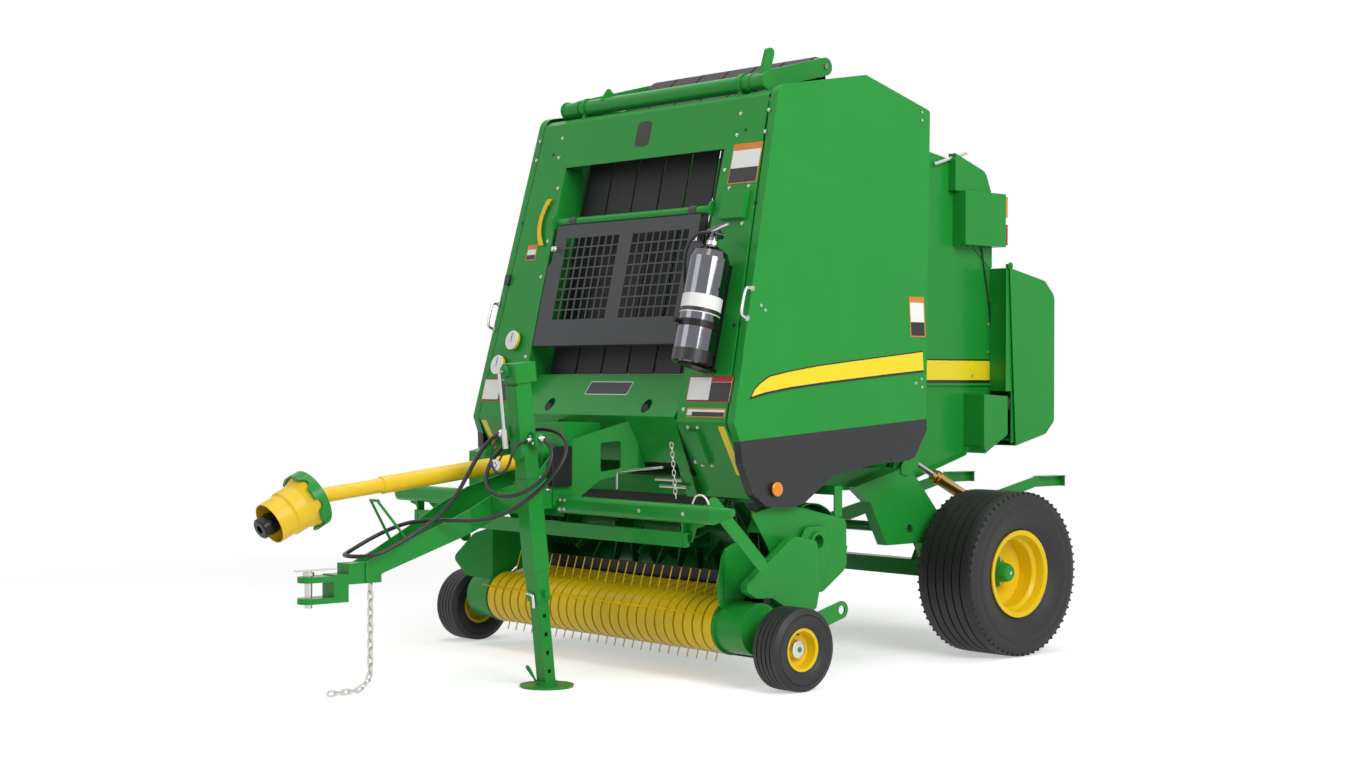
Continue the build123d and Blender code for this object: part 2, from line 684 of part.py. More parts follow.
def spindle():
    pin = rod_x(0, AXLE_Z, SPINDLE_R, ARM_OUT, WHEEL_X + 60)
    pin += rod_x(0, AXLE_Z, SPINDLE_R + 22, ARM_OUT, ARM_OUT + 24)
    return pin


def main_tyre():
    half = TYRE_W / 2
    side = [(half - 84, TYRE_R), (half - 48, TYRE_R - 8), (half - 12, TYRE_R - 40),
            (half, TYRE_R - 96), (half - 10, RIM_R + 30), (half - 44, RIM_R + 4),
            (half - 44, RIM_R - 17 + FIT)]
    rows = side + [(-x, r) for x, r in reversed(side)]
    face = make_face(Polyline(*rows, close=True))
    return Pos(WHEEL_X, 0, AXLE_Z) * revolve(face, axis=Axis.X)


def main_rim():
    """Drop-centre rim with its dished disc."""
    half = TYRE_W / 2
    outer = [(-half + 30, RIM_R), (-half + 38, RIM_R), (-half + 42, RIM_R - 17),
             (-half + 78, RIM_R - 24), (-half + 94, RIM_R - 40), (half - 94, RIM_R - 40),
             (half - 78, RIM_R - 24), (half - 42, RIM_R - 17), (half - 38, RIM_R),
             (half - 30, RIM_R), (half - 34, RIM_R - 24), (half - 74, RIM_R - 32),
             (half - 90, RIM_R - 48), (8, RIM_R - 48), (-6, RIM_R - 84), (-12, HUB_R - 2),
             (-20, HUB_R - 2), (-16, RIM_R - 88), (-4, RIM_R - 48), (-half + 90, RIM_R - 48),
             (-half + 74, RIM_R - 32), (-half + 34, RIM_R - 24)]
    face = make_face(Polyline(*outer, close=True))
    return Pos(WHEEL_X, 0, AXLE_Z) * revolve(face, axis=Axis.X)


def main_hub():
    rows = [(-120, SPINDLE_R + 0.5), (-120, 52), (-30, 56), (-22, HUB_R), (-8, HUB_R), (-4, 52),
            (44, 46), (70, 40), (78, 26), (78, 0), (66, 0), (66, SPINDLE_R + 0.5)]
    face = make_face(Polyline(*rows, close=True))
    return Pos(WHEEL_X, 0, AXLE_Z) * revolve(face, axis=Axis.X)


def gauge_tyre():
    half = GAUGE_W / 2
    side = [(half - 28, GAUGE_R), (half - 8, GAUGE_R - 16), (half, GAUGE_R - 46),
            (half - 4, GAUGE_RIM_R + 20), (half - 27, GAUGE_RIM_R + 3), (half - 27, GAUGE_RIM_R - 9 + FIT)]
    rows = side + [(-x, r) for x, r in reversed(side)]
    face = make_face(Polyline(*rows, close=True))
    return Pos(GAUGE_X, GAUGE_Y, GAUGE_R) * revolve(face, axis=Axis.X)


def gauge_rim():
    half = GAUGE_W / 2
    rows = [(-half + 16, GAUGE_RIM_R), (-half + 22, GAUGE_RIM_R), (-half + 26, GAUGE_RIM_R - 9),
            (half - 26, GAUGE_RIM_R - 9), (half - 22, GAUGE_RIM_R), (half - 16, GAUGE_RIM_R),
            (half - 20, GAUGE_RIM_R - 13), (12, GAUGE_RIM_R - 17), (4, 40), (34, 36), (34, GAUGE_PIN_R + 0.5),
            (-30, GAUGE_PIN_R + 0.5), (-30, 30), (-4, 40), (4, GAUGE_RIM_R - 17),
            (-half + 20, GAUGE_RIM_R - 13)]
    face = make_face(Polyline(*rows, close=True))
    return Pos(GAUGE_X, GAUGE_Y, GAUGE_R) * revolve(face, axis=Axis.X)


# ------------------------------------------------------------------ tongue and hitch
TONGUE_X = 131.0
CLEVIS_X = 44.0
HITCH_PIN_Y = -3245.0
HITCH_PIN_R = 16.0


def chin_panel_y(z):
    """Y of the lower front panel's outer face at a height below its bend."""
    share = (LEDGE[1] - z) / (LEDGE[1] - CHIN_Z)
    return LEDGE[0] + share * (CHIN_Y - 46 - LEDGE[0])


def tongue_end(z):
    """Y of the tongue's rear edge, FIT clear of the panel's outer face."""
    return chin_panel_y(z) - SHEET / CHIN_COS - FIT - 0.2


def tongue():
    """Open-topped channel: two bent side plates and a floor."""
    plan = [(CLEVIS_X + PLATE, -3000), (CLEVIS_X + PLATE, -2900), (TONGUE_X, -2520), (TONGUE_X, -1960),
            (275, -1700), (275, -1560)]
    wall = extrude(Plane.XY.offset(380) * strip(plan, PLATE), 900)
    profile = [(-3000, 462), (-2944, 488), (-2550, 641), (-2331, 732), (-2050, 745, 60),
               (-1945, 775, 40), (-1855, 862, 40), (-1700, 905), (tongue_end(905), 905),
               (tongue_end(1128), 1128), (-2040, 1020), (-2180, 885), (-2355, 838), (-2649, 698),
               (-3000, 548)]
    side = wall & side_plate(profile, 0, 400)
    side -= side_plate([(-1850, 900, 10), (-1770, 915, 10), (-1770, 1040, 10), (-1850, 1030, 10)],
                       100, 300)
    side -= side_plate([(-2110, 815, 10), (-2060, 815, 10), (-2060, 950, 10), (-2110, 950, 10)],
                       100, 300)
    floor_run = [(-2910, 503), (-2550, 643), (-2331, 734), (-2060, 747)]
    floor = bent_sheet(floor_run, PLATE, 0, TONGUE_X)
    keep = [(0, -3000), (CLEVIS_X + 2, -3000), (CLEVIS_X + 2, -2900), (TONGUE_X - 3, -2520),
            (TONGUE_X - 3, -1960), (0, -1960)]
    floor &= extrude(Plane.XY.offset(380) * make_face(Polyline(*keep, close=True)), 900)
    half = side + floor
    return half + mirrored(half)


def clevis():
    """Swivel clevis with two jaws for the drawbar."""
    body = block((-CLEVIS_X, CLEVIS_X), (-3150, -2918), (462, 548))
    body += block((-46, 46), (-3150, -3080), (390, 505))
    body = body - block((-60, 60), (-3300, -3080), (506, 600))
    jaws = None
    for z0 in (478.0, 390.0):
        jaw = Pos(0, HITCH_PIN_Y, z0 + 12) * Cylinder(46, 24)
        jaw += block((-46, 46), (HITCH_PIN_Y, -3140), (z0, z0 + 24))
        jaw -= Pos(0, HITCH_PIN_Y, z0 + 12) * Cylinder(HITCH_PIN_R + 0.5, 30)
        jaws = jaw if jaws is None else jaws + jaw
    return body + jaws


def hitch_pin():
    pin = Pos(0, HITCH_PIN_Y, 372) * Cylinder(HITCH_PIN_R, 152, align=(Align.CENTER, Align.CENTER, Align.MIN))
    pin += Pos(0, HITCH_PIN_Y, 506) * Cylinder(24, 14, align=(Align.CENTER, Align.CENTER, Align.MIN))
    pin += block((-14, 14), (HITCH_PIN_Y - 60, HITCH_PIN_Y + 130), (524, 530))
    return pin


LINK_PITCH = 33.76
LINK_WIRE = 8.0
LINK_GAP = 0.6
LINK_WIDTH = 27.0
CHAIN_TOP = (24.0, -2960.0, 461.7)


def chain_link():
    """One link, long way along Z, its plane across Y."""
    length = LINK_PITCH + 2 * LINK_WIRE + LINK_GAP
    ring = SlotOverall(length, LINK_WIDTH) - SlotOverall(length - 2 * LINK_WIRE, LINK_WIDTH - 2 * LINK_WIRE)
    return Rot(0, 90, 0) * Rot(90, 0, 0) * Pos(0, 0, -LINK_WIRE / 2) * extrude(ring, LINK_WIRE)


def safety_chain():
    """Chain hung from the clevis, bending onto the floor and lying forward."""
    half = (LINK_PITCH + 2 * LINK_WIRE + LINK_GAP) / 2
    slopes = [90.0] * 11 + [67.5, 45.0, 22.5] + [0.0] * 4
    x, y, z = CHAIN_TOP
    z -= half - LINK_PITCH / 2
    links = []
    for i, slope in enumerate(slopes):
        dy, dz = -cos(radians(slope)), -sin(radians(slope))
        turn = Rot(0, 0, 90 * (i % 2))
        place = Pos(x, y + dy * LINK_PITCH / 2, z + dz * LINK_PITCH / 2)
        links.append(place * Rot(slope - 90, 0, 0) * turn * chain_link())
        y += dy * LINK_PITCH
        z += dz * LINK_PITCH
    return links


def gearbox():
    wide = TONGUE_X - PLATE - FIT
    case = block((-wide, wide), (-2010, -1800), (905, 1120))
    case += Pos(0, -2040, 963) * Rot(90 - 7, 0, 0) * Cylinder(62, 70)
    plane, length = shaft_plane(SHAFT_REAR, SHAFT_FRONT)
    ball = Sphere(GUARD_R - 7 - FIT) & Box(38, 80, 80)
    ball += Rot(0, 90, 0) * Cylinder(9, 2 * (GUARD_R - 9))
    case += plane * (Pos(0, 0, 15) * ball + Pos(0, 0, -15) * Cylinder(12, 60))
    return case


def driveline_support():
    legs = rod((68, -2800, 628), (26, -2925, 800), 6) + rod((-68, -2800, 628), (-26, -2925, 800), 6)
    saddle = rod((-32, -2925, 803), (32, -2925, 803), 6)
    return legs + saddle


# ------------------------------------------------------------------ driveline
def shaft_plane(start, end):
    way = Vector(0, end[0] - start[0], end[1] - start[1])
    return Plane(origin=(0, start[0], start[1]), x_dir=(1, 0, 0), z_dir=way), way.length


def driveline_guard():
    plane, length = shaft_plane(SHAFT_REAR, SHAFT_FRONT)
    tube = [(GUARD_R - 7, 0), (GUARD_R, 0), (GUARD_R, 800), (GUARD_R - 6, 806), (GUARD_R - 6, length),
            (GUARD_R - 12, length), (GUARD_R - 12, 790), (GUARD_R - 7, 784)]
    sleeve = plane * revolve(make_face(Plane.XZ * Polyline(*tube, close=True)), axis=Axis.Z)
    cone_plane, cone_len = shaft_plane(CONE_REAR, CONE_FRONT)
    cone = [(22, -26), (60, -26), (108, -8), (112, 20), (96, 60), (96, 120), (88, 130), (88, cone_len + 8),
            (84, cone_len + 8), (84, 128), (92, 118), (92, 60), (107, 18), (104, -4), (60, -21), (22, -21)]
    shell = cone_plane * revolve(make_face(Plane.XZ * Polyline(*cone, close=True)), axis=Axis.Z)
    bearing = cone_plane * Pos(0, 0, 70) * (Cylinder(94, 10) - Cylinder(STEM_R + FIT, 20))
    return sleeve + shell + bearing


def driveline_collar():
    """Scalloped locking collar round the cone."""
    cone_plane, cone_len = shaft_plane(CONE_REAR, CONE_FRONT)
    ring = Cylinder(124, 52) - Cylinder(113, 60)
    for i in range(7):
        ring -= Rot(0, 0, i * 360 / 7) * Pos(119, 0, 30) * Rot(0, 90, 0) * Cylinder(26, 40)
    return cone_plane * Pos(0, 0, 8) * ring


def driveline_yoke():
    """Tractor-end yoke with its splined bore and cross."""
    cone_plane, cone_len = shaft_plane(CONE_REAR, CONE_FRONT)
    hub = [(17.5, cone_len - 20), (38, cone_len - 20), (44, cone_len - 8), (44, cone_len + 52),
           (38, cone_len + 58), (17.5, cone_len + 58)]
    body = revolve(make_face(Plane.XZ * Polyline(*hub, close=True)), axis=Axis.Z)
    for x in (-1, 1):
        body += block((x * 26, x * 40), (-22, 22), (90, cone_len - 12))
    body += Pos(0, 0, 62) * Cylinder(STEM_R, 84)
    body += Pos(0, 0, 100) * Rot(0, 90, 0) * Cylinder(11, 66)
    body += Pos(0, 0, 100) * Rot(90, 0, 0) * Cylinder(11, 66)
    return cone_plane * body


# ------------------------------------------------------------------ jack
JACK = Plane(origin=(JACK_X, JACK_FOOT_Y, 0), x_dir=(1, 0, 0),
             z_dir=(0, -sin(radians(JACK_LEAN)), cos(radians(JACK_LEAN))))


def square_tube(size, wall, z0, z1):
    return (block((-size / 2, size / 2), (-size / 2, size / 2), (z0, z1))
            - block((-size / 2 + wall, size / 2 - wall), (-size / 2 + wall, size / 2 - wall),
                    (z0 - 1, z1 + 1)))


def jack_post():
    post = square_tube(JACK_TUBE, JACK_WALL, JACK_POST_LOW, JACK_POST_TOP)
    post += square_tube(JACK_TUBE + 10, 5, JACK_POST_LOW + 130, 900)
    nose = outline([(-37, 1300), (-37, 982, 34), (37, 982, 34), (37, 1300)])
    post += Plane.XZ.offset(JACK_TUBE / 2) * extrude(nose, 14)
    post += Pos(JACK_TUBE / 2 + 14, 0, JACK_POST_LOW + 34) * Rot(0, 90, 0) * Cylinder(10, 28)
    post = JACK * post
    reach = JACK_X - JACK_TUBE / 2 - 5
    post += block((TONGUE_X, reach + 2), (-2412, -2342), (742, 826))
    half = JACK_TUBE / 2
    post += block((HOSE_BRACKET_X, JACK_X - half + 3), (HOSE_BRACKET_Y, -2432), (1062, 1118))
    post += block((JACK_X + half - 3, HOSE_CLAMP_X), (HOSE_CLAMP_Y, HOSE_CLAMP_Y + 44),
                  (1032, 1090))
    return post


HOSE_BRACKET_X = 300.0     # outer face of the bracket left of the jack
HOSE_BRACKET_Y = -2482.0   # its front face
HOSE_CLAMP_X = 452.0       # outer face of the clamp right of the jack
HOSE_CLAMP_Y = -2421.0     # its front face


def jack_head():
    head = block((-46, 46), (-50, 58), (JACK_POST_TOP, JACK_POST_TOP + 84))
    head += Pos(-20, -54, JACK_POST_TOP + 52) * Rot(90, 0, 0) * Cylinder(26, 20)
    return JACK * head


def jack_crank():
    arm = rod((-20, -64 - FIT, JACK_POST_TOP + 52), (-20, -92, JACK_POST_TOP + 52), 8)
    arm += rod((-20, -86, JACK_POST_TOP + 60), (-20, -86, JACK_POST_TOP - 190), 8)
    arm += rod((-20, -86, JACK_POST_TOP - 190), (-20, -86, JACK_POST_TOP - 270), 14)
    return JACK * arm


def jack_leg():
    leg = square_tube(JACK_LEG, 4, 14, 780)
    for z in (70, 150, 230, 310):
        leg -= Pos(0, 0, z) * Rot(0, 90, 0) * Cylinder(9, 100)
    leg = JACK * leg
    foot = Pos(JACK_X, JACK_FOOT_Y, 5) * Cylinder(116, 10)
    foot += Pos(JACK_X, JACK_FOOT_Y, 16) * Cylinder(48, 16)
    return leg + foot


# ------------------------------------------------------------------ front guard
GUARD_Y, GUARD_Z = -2030.0, 760.0


def front_guard():
    """Rounded bumper channels out from the tongue, the flat bar under them and the end arms."""
    face = Pos(GUARD_Y, GUARD_Z) * RectangleRounded(56, 78, 24)
    hollow = Pos(GUARD_Y, GUARD_Z) * RectangleRounded(48, 70, 20)
    bar = across(face, TONGUE_X + 4, 1140) - across(hollow, TONGUE_X + 8, 1120)
    tip = Plane.YZ.offset(1140) * face
    small = Plane.YZ.offset(1222) * Pos(GUARD_Y + 26, GUARD_Z + 14) * RectangleRounded(30, 34, 14)
    bar += loft([tip, small])
    bar += block((TONGUE_X, TONGUE_X + 8), (GUARD_Y - 50, GUARD_Y + 50), (752, 900))
    arm = link_bar(-1965, 800, -1690, 535, 60, 1062, 1070)
    arm += block((1062, 1070), (-2020, -1940), (740, 800))
    stay = side_plate([(-2050, 622), (-2010, 622), (-2010, 740), (-2050, 740)], 960, 968)
    gusset = make_face(Plane.XZ * Polyline((955, 640), (990, 640), (1018, 700), (1066, 712), (1066, 742),
                                           (955, 742), close=True))
    half = bar + arm + stay + Pos(0, GUARD_Y + 16, 0) * extrude(gusset, 6)
    flat = block((0, 990), (GUARD_Y - 18, GUARD_Y - 12), (620, 682))
    flat += block((0, 990), (GUARD_Y - 18, GUARD_Y + 16), (676, 682))
    return half + mirrored(half) + flat + mirrored(flat)


# ------------------------------------------------------------------ intake and rotor
def intake_side():
    rows = [(-1600, 735), (-1420, 778), (-1010, 690, 30), (-1006, 470, 60), (-1160, 372, 40),
            (-1330, 372, 60), (-1450, 470), (-1500, 590)]
    plate = side_plate(rows, INTAKE_X, INTAKE_X + PLATE)
    plate += rod_x(*ROTOR, HOUSING_R, INTAKE_X + PLATE, 945)
    plate -= rod_x(*ROTOR, ROTOR_SHAFT_R + FIT, 800, 1000)
    return plate


HOUSING_R = 46.0           # bearing housing that the pickup's arms turn on


def arc_sheet(centre, radius, thickness, start, end, x0, x1):
    """Curved sheet about an axis along X, between two angles in the (Y, Z) view."""
    def at(r, a):
        return (centre[0] + r * cos(radians(a)), centre[1] + r * sin(radians(a)))
    mid = (start + end) / 2
    outer = radius + thickness
    edges = [ThreePointArc(at(radius, start), at(radius, mid), at(radius, end)),
             Line(at(radius, end), at(outer, end)),
             ThreePointArc(at(outer, end), at(outer, mid), at(outer, start)),
             Line(at(outer, start), at(radius, start))]
    return across(make_face(Wire(edges)), x0, x1)


def intake_hood():
    """Curved cover over the converging auger at each side."""
    return arc_sheet(ROTOR, AUGER_R + 16, SHEET, 10, 168, CHAMBER_X + 70, INTAKE_X)


def intake_floor():
    """Curved floor under and behind the rotor, and the cover over it."""
    floor = arc_sheet(ROTOR, ROTOR_R + 18, SHEET, 226, 352, -INTAKE_X, INTAKE_X)
    inside = CHAMBER_X - FIT
    return floor + arc_sheet(ROTOR, ROTOR_R + 14, SHEET, 58, 128, -inside, inside)


TOOTH_ROWS = 15
TOOTH_PITCH = 78.0


def rotor():
    """Tined feed rotor with a converging auger at each end."""
    body = rod_x(*ROTOR, ROTOR_TUBE_R, -600, 600)
    body += rod_x(*ROTOR, ROTOR_SHAFT_R, -INTAKE_X - 8, INTAKE_X + 8)
    tooth = [(-26, 60), (-16, ROTOR_R - 8), (4, ROTOR_R - 2), (26, 60)]
    face = make_face(Polyline(*tooth, close=True))
    for i in range(TOOTH_ROWS):
        x = TOOTH_PITCH * (i - (TOOTH_ROWS - 1) / 2)
        for k in range(3):
            turned = Pos(*ROTOR) * Rot(0, 0, 120 * k + 20 * (i % 6)) * face
            body += across(turned, x - 6, x + 6)
    for side in (-1, 1):
        body += rod_x(*ROTOR, 62, side * 600, side * 890)
        for i in range(4):
            x = side * (650 + i * 66)
            body += rod_x(*ROTOR, AUGER_R, x - 3, x + 3)
    return body


# ------------------------------------------------------------------ pickup
BAND_HALF = BAND_PITCH * BAND_COUNT / 2


def band_face():
    """One stripper band in side view: a C round the reel with two straight tails."""
    y, z = BAND_AXIS
    inner = BAND_R - BAND_T

    def at(r, a):
        return (y + r * cos(radians(a)), z + r * sin(radians(a)))
    top, low = 72.0, 285.0
    tail_top = (ROTOR[0] - 236, 398.0)
    tail_low = (-1420.0, 166.0)
    outer_start = at(BAND_R, top)
    inner_start = at(inner, top)
    edges = [ThreePointArc(at(BAND_R, top), at(BAND_R, 180), at(BAND_R, low)),
             Line(at(BAND_R, low), (tail_low[0], tail_low[1] - BAND_T)),
             Line((tail_low[0], tail_low[1] - BAND_T), tail_low),
             Line(tail_low, at(inner, low)),
             ThreePointArc(at(inner, low), at(inner, 180), at(inner, top)),
             Line(inner_start, (tail_top[0], tail_top[1] - BAND_T)),
             Line((tail_top[0], tail_top[1] - BAND_T), tail_top),
             Line(tail_top, outer_start)]
    return make_face(Wire(edges))


def pickup_bands():
    face = band_face()
    first = -BAND_PITCH * (BAND_COUNT - 1) / 2
    return Compound(children=[
        across(face, first + i * BAND_PITCH - BAND_W / 2, first + i * BAND_PITCH + BAND_W / 2)
        for i in range(BAND_COUNT)])


def pickup_reel():
    """Tine reel: four tine bars between end discs, one tine in each gap between bands."""
    y, z = REEL
    bar = rod_x(y, z + REEL_BAR_R, 11, -BAND_HALF + 22, BAND_HALF - 22)
    for i in range(BAND_COUNT - 1):
        x = -BAND_PITCH * (BAND_COUNT - 2) / 2 + i * BAND_PITCH
        bar += rod((x, y, z + REEL_BAR_R), (x, y + 40, z + REEL_TIP_R - 5), TINE_R)
    reel = rod_x(y, z, 22, -BAND_HALF - 20, BAND_HALF + 20)
    for x in (-BAND_HALF + 18, BAND_HALF - 18):
        reel += rod_x(y, z, REEL_BAR_R + 16, x - 4, x + 4)
    for k in range(4):
        reel += Pos(0, y, z) * Rot(90 * k, 0, 0) * Pos(0, -y, -z) * bar
    return reel


def pickup_frame():
    """End discs, side drums, lift arms and the cross tube behind the reel."""
    y, z = BAND_AXIS
    end = rod_x(y, z, BAND_R + 3, BAND_HALF + 4, BAND_HALF + 10)
    end -= rod_x(*REEL, 22 + FIT, 700, 1100)
    drum = tube_x(y, z, DRUM_R, DRUM_R - 5, BAND_HALF + 10, DRUM_X) + rod_x(y, z, DRUM_R, DRUM_X - 5, DRUM_X)
    arm_rows = [(-1650, 250, 40), (-1600, 180, 30), (-1400, 190), (-1130, 540, 40), (-1150, 668, 40),
                (-1290, 668, 40), (-1470, 370)]
    arm = side_plate(arm_rows, 925, 933) - rod_x(*ROTOR, HOUSING_R + FIT, 900, 960)
    half = end + drum + arm
    cross = block((-933, 933), (-1420, -1380), (150, 196))
    return half + mirrored(half) + cross


def gather_plate():
    """Side plate that leads the crop in at each end of the reel."""
    rows = [(-1842, 440, 40), (-1790, 350, 30), (-1690, 330), (-1610, 340), (-1500, 420),
            (-1480, 560), (-1560, 612), (-1640, 608), (-1760, 560, 40)]
    near = BAND_HALF + 24
    plan = [(near, -1400), (near, -1690), (near + 118, -1845)]
    return extrude(Plane.XY.offset(300) * strip(plan, 4), 400) & side_plate(rows, 800, 1000)


def drive_shield():
    rows = [(-1738, 428, 30), (-1428, 640, 60), (-1286, 610, 30), (-1262, 430), (-1290, 312, 20),
            (-1420, 300, 20), (-1560, 380, 40), (-1650, 382, 20)]
    body = side_plate(rows, 958, 1000)
    shell = body - across(offset(outline(rows), -3), 957, 997)
    return shell + rod_x(-1330, 480, 12, 933, 998) + rod_x(-1420, 390, 12, 933, 998)


def gauge_arm():
    """Arm from its pivot on the drum back to the height-setting lug, with the wheel pin."""
    arm = link_bar(-1150, 300, GAUGE_Y, GAUGE_R + 12, 78, 1012, 1020)
    arm -= rod_x(-1150, 300, 20, 1000, 1040)
    arm += rod_x(GAUGE_Y, GAUGE_R, GAUGE_PIN_R, 1012, GAUGE_X + 40)
    arm += rod_x(-1540, 201, 18, DRUM_X, 1012)
    arm += rod_x(GAUGE_Y, GAUGE_R, 22, 1012, GAUGE_X - 34)
    return arm


# ------------------------------------------------------------------ ramp
RAMP_PIVOT = (90.0, 560.0)
RAMP_X = 320.0
CYL_X = 698.0
CYL_BASE = (180.0, 687.0)
CYL_EYE = (-348.0, 938.0)
CYL_R = 29.0
CYL_ROD_R = 15.0
CYL_PIN_R = 12.0
CYL_BARREL = 395.0         # from the base pin to the gland's face


def push_bar():
    """Push bar: two arms on a cross tube behind the axle, each ending in an open channel."""
    tube = rod_x(*RAMP_PIVOT, 26, -520, CYL_X + 12)
    arms = None
    for x in (-RAMP_X, RAMP_X):
        arm = side_plate([(70, 540), (110, 520), (1080, 742), (1300, 742), (1300, 800), (1090, 800),
                          (100, 600)], x - 4, x + 4)
        cap = block((x - 38, x + 38), (1110, 1300), (796, 800))
        cap += block((x - 34, x + 34), (1292, 1300), (742, 800))
        arms = arm + cap if arms is None else arms + arm + cap
    lug = link_bar(*RAMP_PIVOT, *CYL_BASE, 40, CYL_X - 8, CYL_X + 8)
    lug -= rod_x(*CYL_BASE, CYL_PIN_R + 0.06, CYL_X - 20, CYL_X + 20)
    return tube + arms + lug


def cylinder_plane():
    """Plane at the barrel's base pin, its z along the cylinder toward the rod's eye."""
    way = Vector(0, CYL_EYE[0] - CYL_BASE[0], CYL_EYE[1] - CYL_BASE[1])
    return Plane(origin=(CYL_X, CYL_BASE[0], CYL_BASE[1]), x_dir=(1, 0, 0), z_dir=way), way.length


def cylinder_barrel():
    plane, length = cylinder_plane()
    body = Pos(0, 0, 58) * Cylinder(CYL_R, CYL_BARREL - 58, align=(Align.CENTER, Align.CENTER, Align.MIN))
    body -= Pos(0, 0, 72) * Cylinder(CYL_ROD_R + 0.08, CYL_BARREL, align=(Align.CENTER, Align.CENTER, Align.MIN))
    body += Pos(0, 0, CYL_BARREL - 34) * (Cylinder(CYL_R + 5, 26) - Cylinder(CYL_R - 1, 30))
    for x in (-14, 14):
        body += block((x - 4, x + 4), (-22, 22), (0, 70)) + Pos(x, 0, 0) * Rot(0, 90, 0) * Cylinder(22, 8)
    body += Rot(0, 90, 0) * Cylinder(CYL_PIN_R, 44)
    return plane * body


def cylinder_rod():
    plane, length = cylinder_plane()
    body = Pos(0, 0, 180) * Cylinder(CYL_ROD_R, length - 200, align=(Align.CENTER, Align.CENTER, Align.MIN))
    body += Pos(0, 0, length) * Rot(0, 90, 0) * Cylinder(26, 30)
    body += Pos(0, 0, length) * Rot(0, 90, 0) * Cylinder(CYL_PIN_R, 38)
    return plane * body


def cylinder_bracket():
    """Two cheeks on the axle arm beside the rod's eye."""
    rows = [(-440, 870), (-440, 905, 20), (-388, 972, 24), (-316, 972, 24), (-316, 905, 20), (-400, 860)]
    return side_plate(rows, CYL_X - 30, CYL_X - 22) + side_plate(rows, CYL_X + 22, CYL_X + 30)


def push_bar_bearings():
    pieces = []
    for x in (-440, 440):
        leg = side_plate([(-AXLE_BEAM / 2, AXLE_Z + 28), (AXLE_BEAM / 2 + 20, AXLE_Z + 28),
                          (RAMP_PIVOT[0] + 36, RAMP_PIVOT[1] - 20), (RAMP_PIVOT[0] + 36, RAMP_PIVOT[1] + 36),
                          (RAMP_PIVOT[0] - 36, RAMP_PIVOT[1] + 36)], x - 8, x + 8)
        leg -= rod_x(*RAMP_PIVOT, 27, x - 20, x + 20)
        pieces.append(leg)
    return pieces[0] + pieces[1]


# ------------------------------------------------------------------ frame under the body
def frame_rail():
    rail = block((CHAMBER_X + PLATE, ARM_IN), (-1500, -420), (CHIN_Z, CHIN_Z + 100))
    return rail - block((CHAMBER_X + PLATE + 5, ARM_IN - 5), (-1510, -410), (CHIN_Z + 5, CHIN_Z + 95))


def front_beam():
    return block((-WINDOW_X + FIT, WINDOW_X - FIT), (CHIN_Y - 20, CHIN_Y + 50), (CHIN_Z, CHIN_Z + 80))


def intake_struts():
    """Brackets that hang the intake sides from the frame rails."""
    strut = block((620, INTAKE_X), (-1420, -1370), (CHIN_Z - 30, CHIN_Z))
    strut += block((INTAKE_X - 30, INTAKE_X), (-1420, -1370), (740, CHIN_Z))
    back = block((ARM_IN, INTAKE_X), (-1080, -1030), (CHIN_Z, CHIN_Z + 40))
    back += block((INTAKE_X - 6, INTAKE_X), (-1080, -1030), (700, CHIN_Z + 40))
    return Compound(children=[strut, back])


# ------------------------------------------------------------------ hoses
HOSE_D = 18.0
THIN_HOSE_D = 11.0
# from the bracket down the tongue, round on its nose, back, once round the jack, to the clamp
LONG_ROUTE = [
    (HOSE_BRACKET_X, -2462, 1100), (243, -2512, 1062), (215, -2575, 950), (185, -2625, 835),
    (152, -2690, 742), (124, -2790, 672), (112, -2896, 618), (110, -2988, 580), (46, -3052, 576),
    (-46, -3052, 576), (-110, -2988, 580), (-112, -2885, 628), (-94, -2796, 668), (-38, -2745, 697),
    (38, -2722, 710), (112, -2690, 716), (182, -2640, 716), (255, -2575, 714), (340, -2520, 738),
    (430, -2485, 785), (505, -2425, 860), (545, -2360, 945), (540, -2312, 1030), (475, -2300, 1088),
    (385, -2328, 1108), (300, -2375, 1088), (256, -2455, 1022), (262, -2530, 945), (300, -2570, 862),
    (380, -2555, 818), (462, -2495, 835), (524, -2430, 898), (540, -2398, 985), (512, -2388, 1052),
    (HOSE_CLAMP_X, -2398, 1068)]
# from the clamp below the jack's nose to the bracket
SHORT_ROUTE = [
    (430, HOSE_CLAMP_Y, 1062), (436, -2478, 1056), (440, -2532, 1022), (440, -2545, 964),
    (402, -2548, 922), (344, -2548, 920), (304, -2545, 962), (302, -2540, 1020), (310, -2512, 1072),
    (318, HOSE_BRACKET_Y, 1088)]


def hose(route, diameter):
    """Tube along straight runs joined by arcs as large as the runs allow."""
    points = [Vector(*point) for point in route]
    radii = []
    for before, here, after in zip(points, points[1:], points[2:]):
        turn = radians((here - before).get_angle(after - here))
        radii.append(0.45 * min((here - before).length, (after - here).length) / tan(turn / 2))
    print("hose radii", [round(radius) for radius in radii])
    path = FilletPolyline(*points, radius=radii)
    return sweep(Plane(origin=points[0], z_dir=points[1] - points[0]) * Circle(diameter / 2), path=path)


# ------------------------------------------------------------------ assembly
def pair(left):
    """A left-hand piece and its mirror image as one node."""
    return Compound(children=[left, mirrored(left)])


def group(*shapes):
    """Several pieces of one body as one node."""
    return Compound(children=list(shapes))


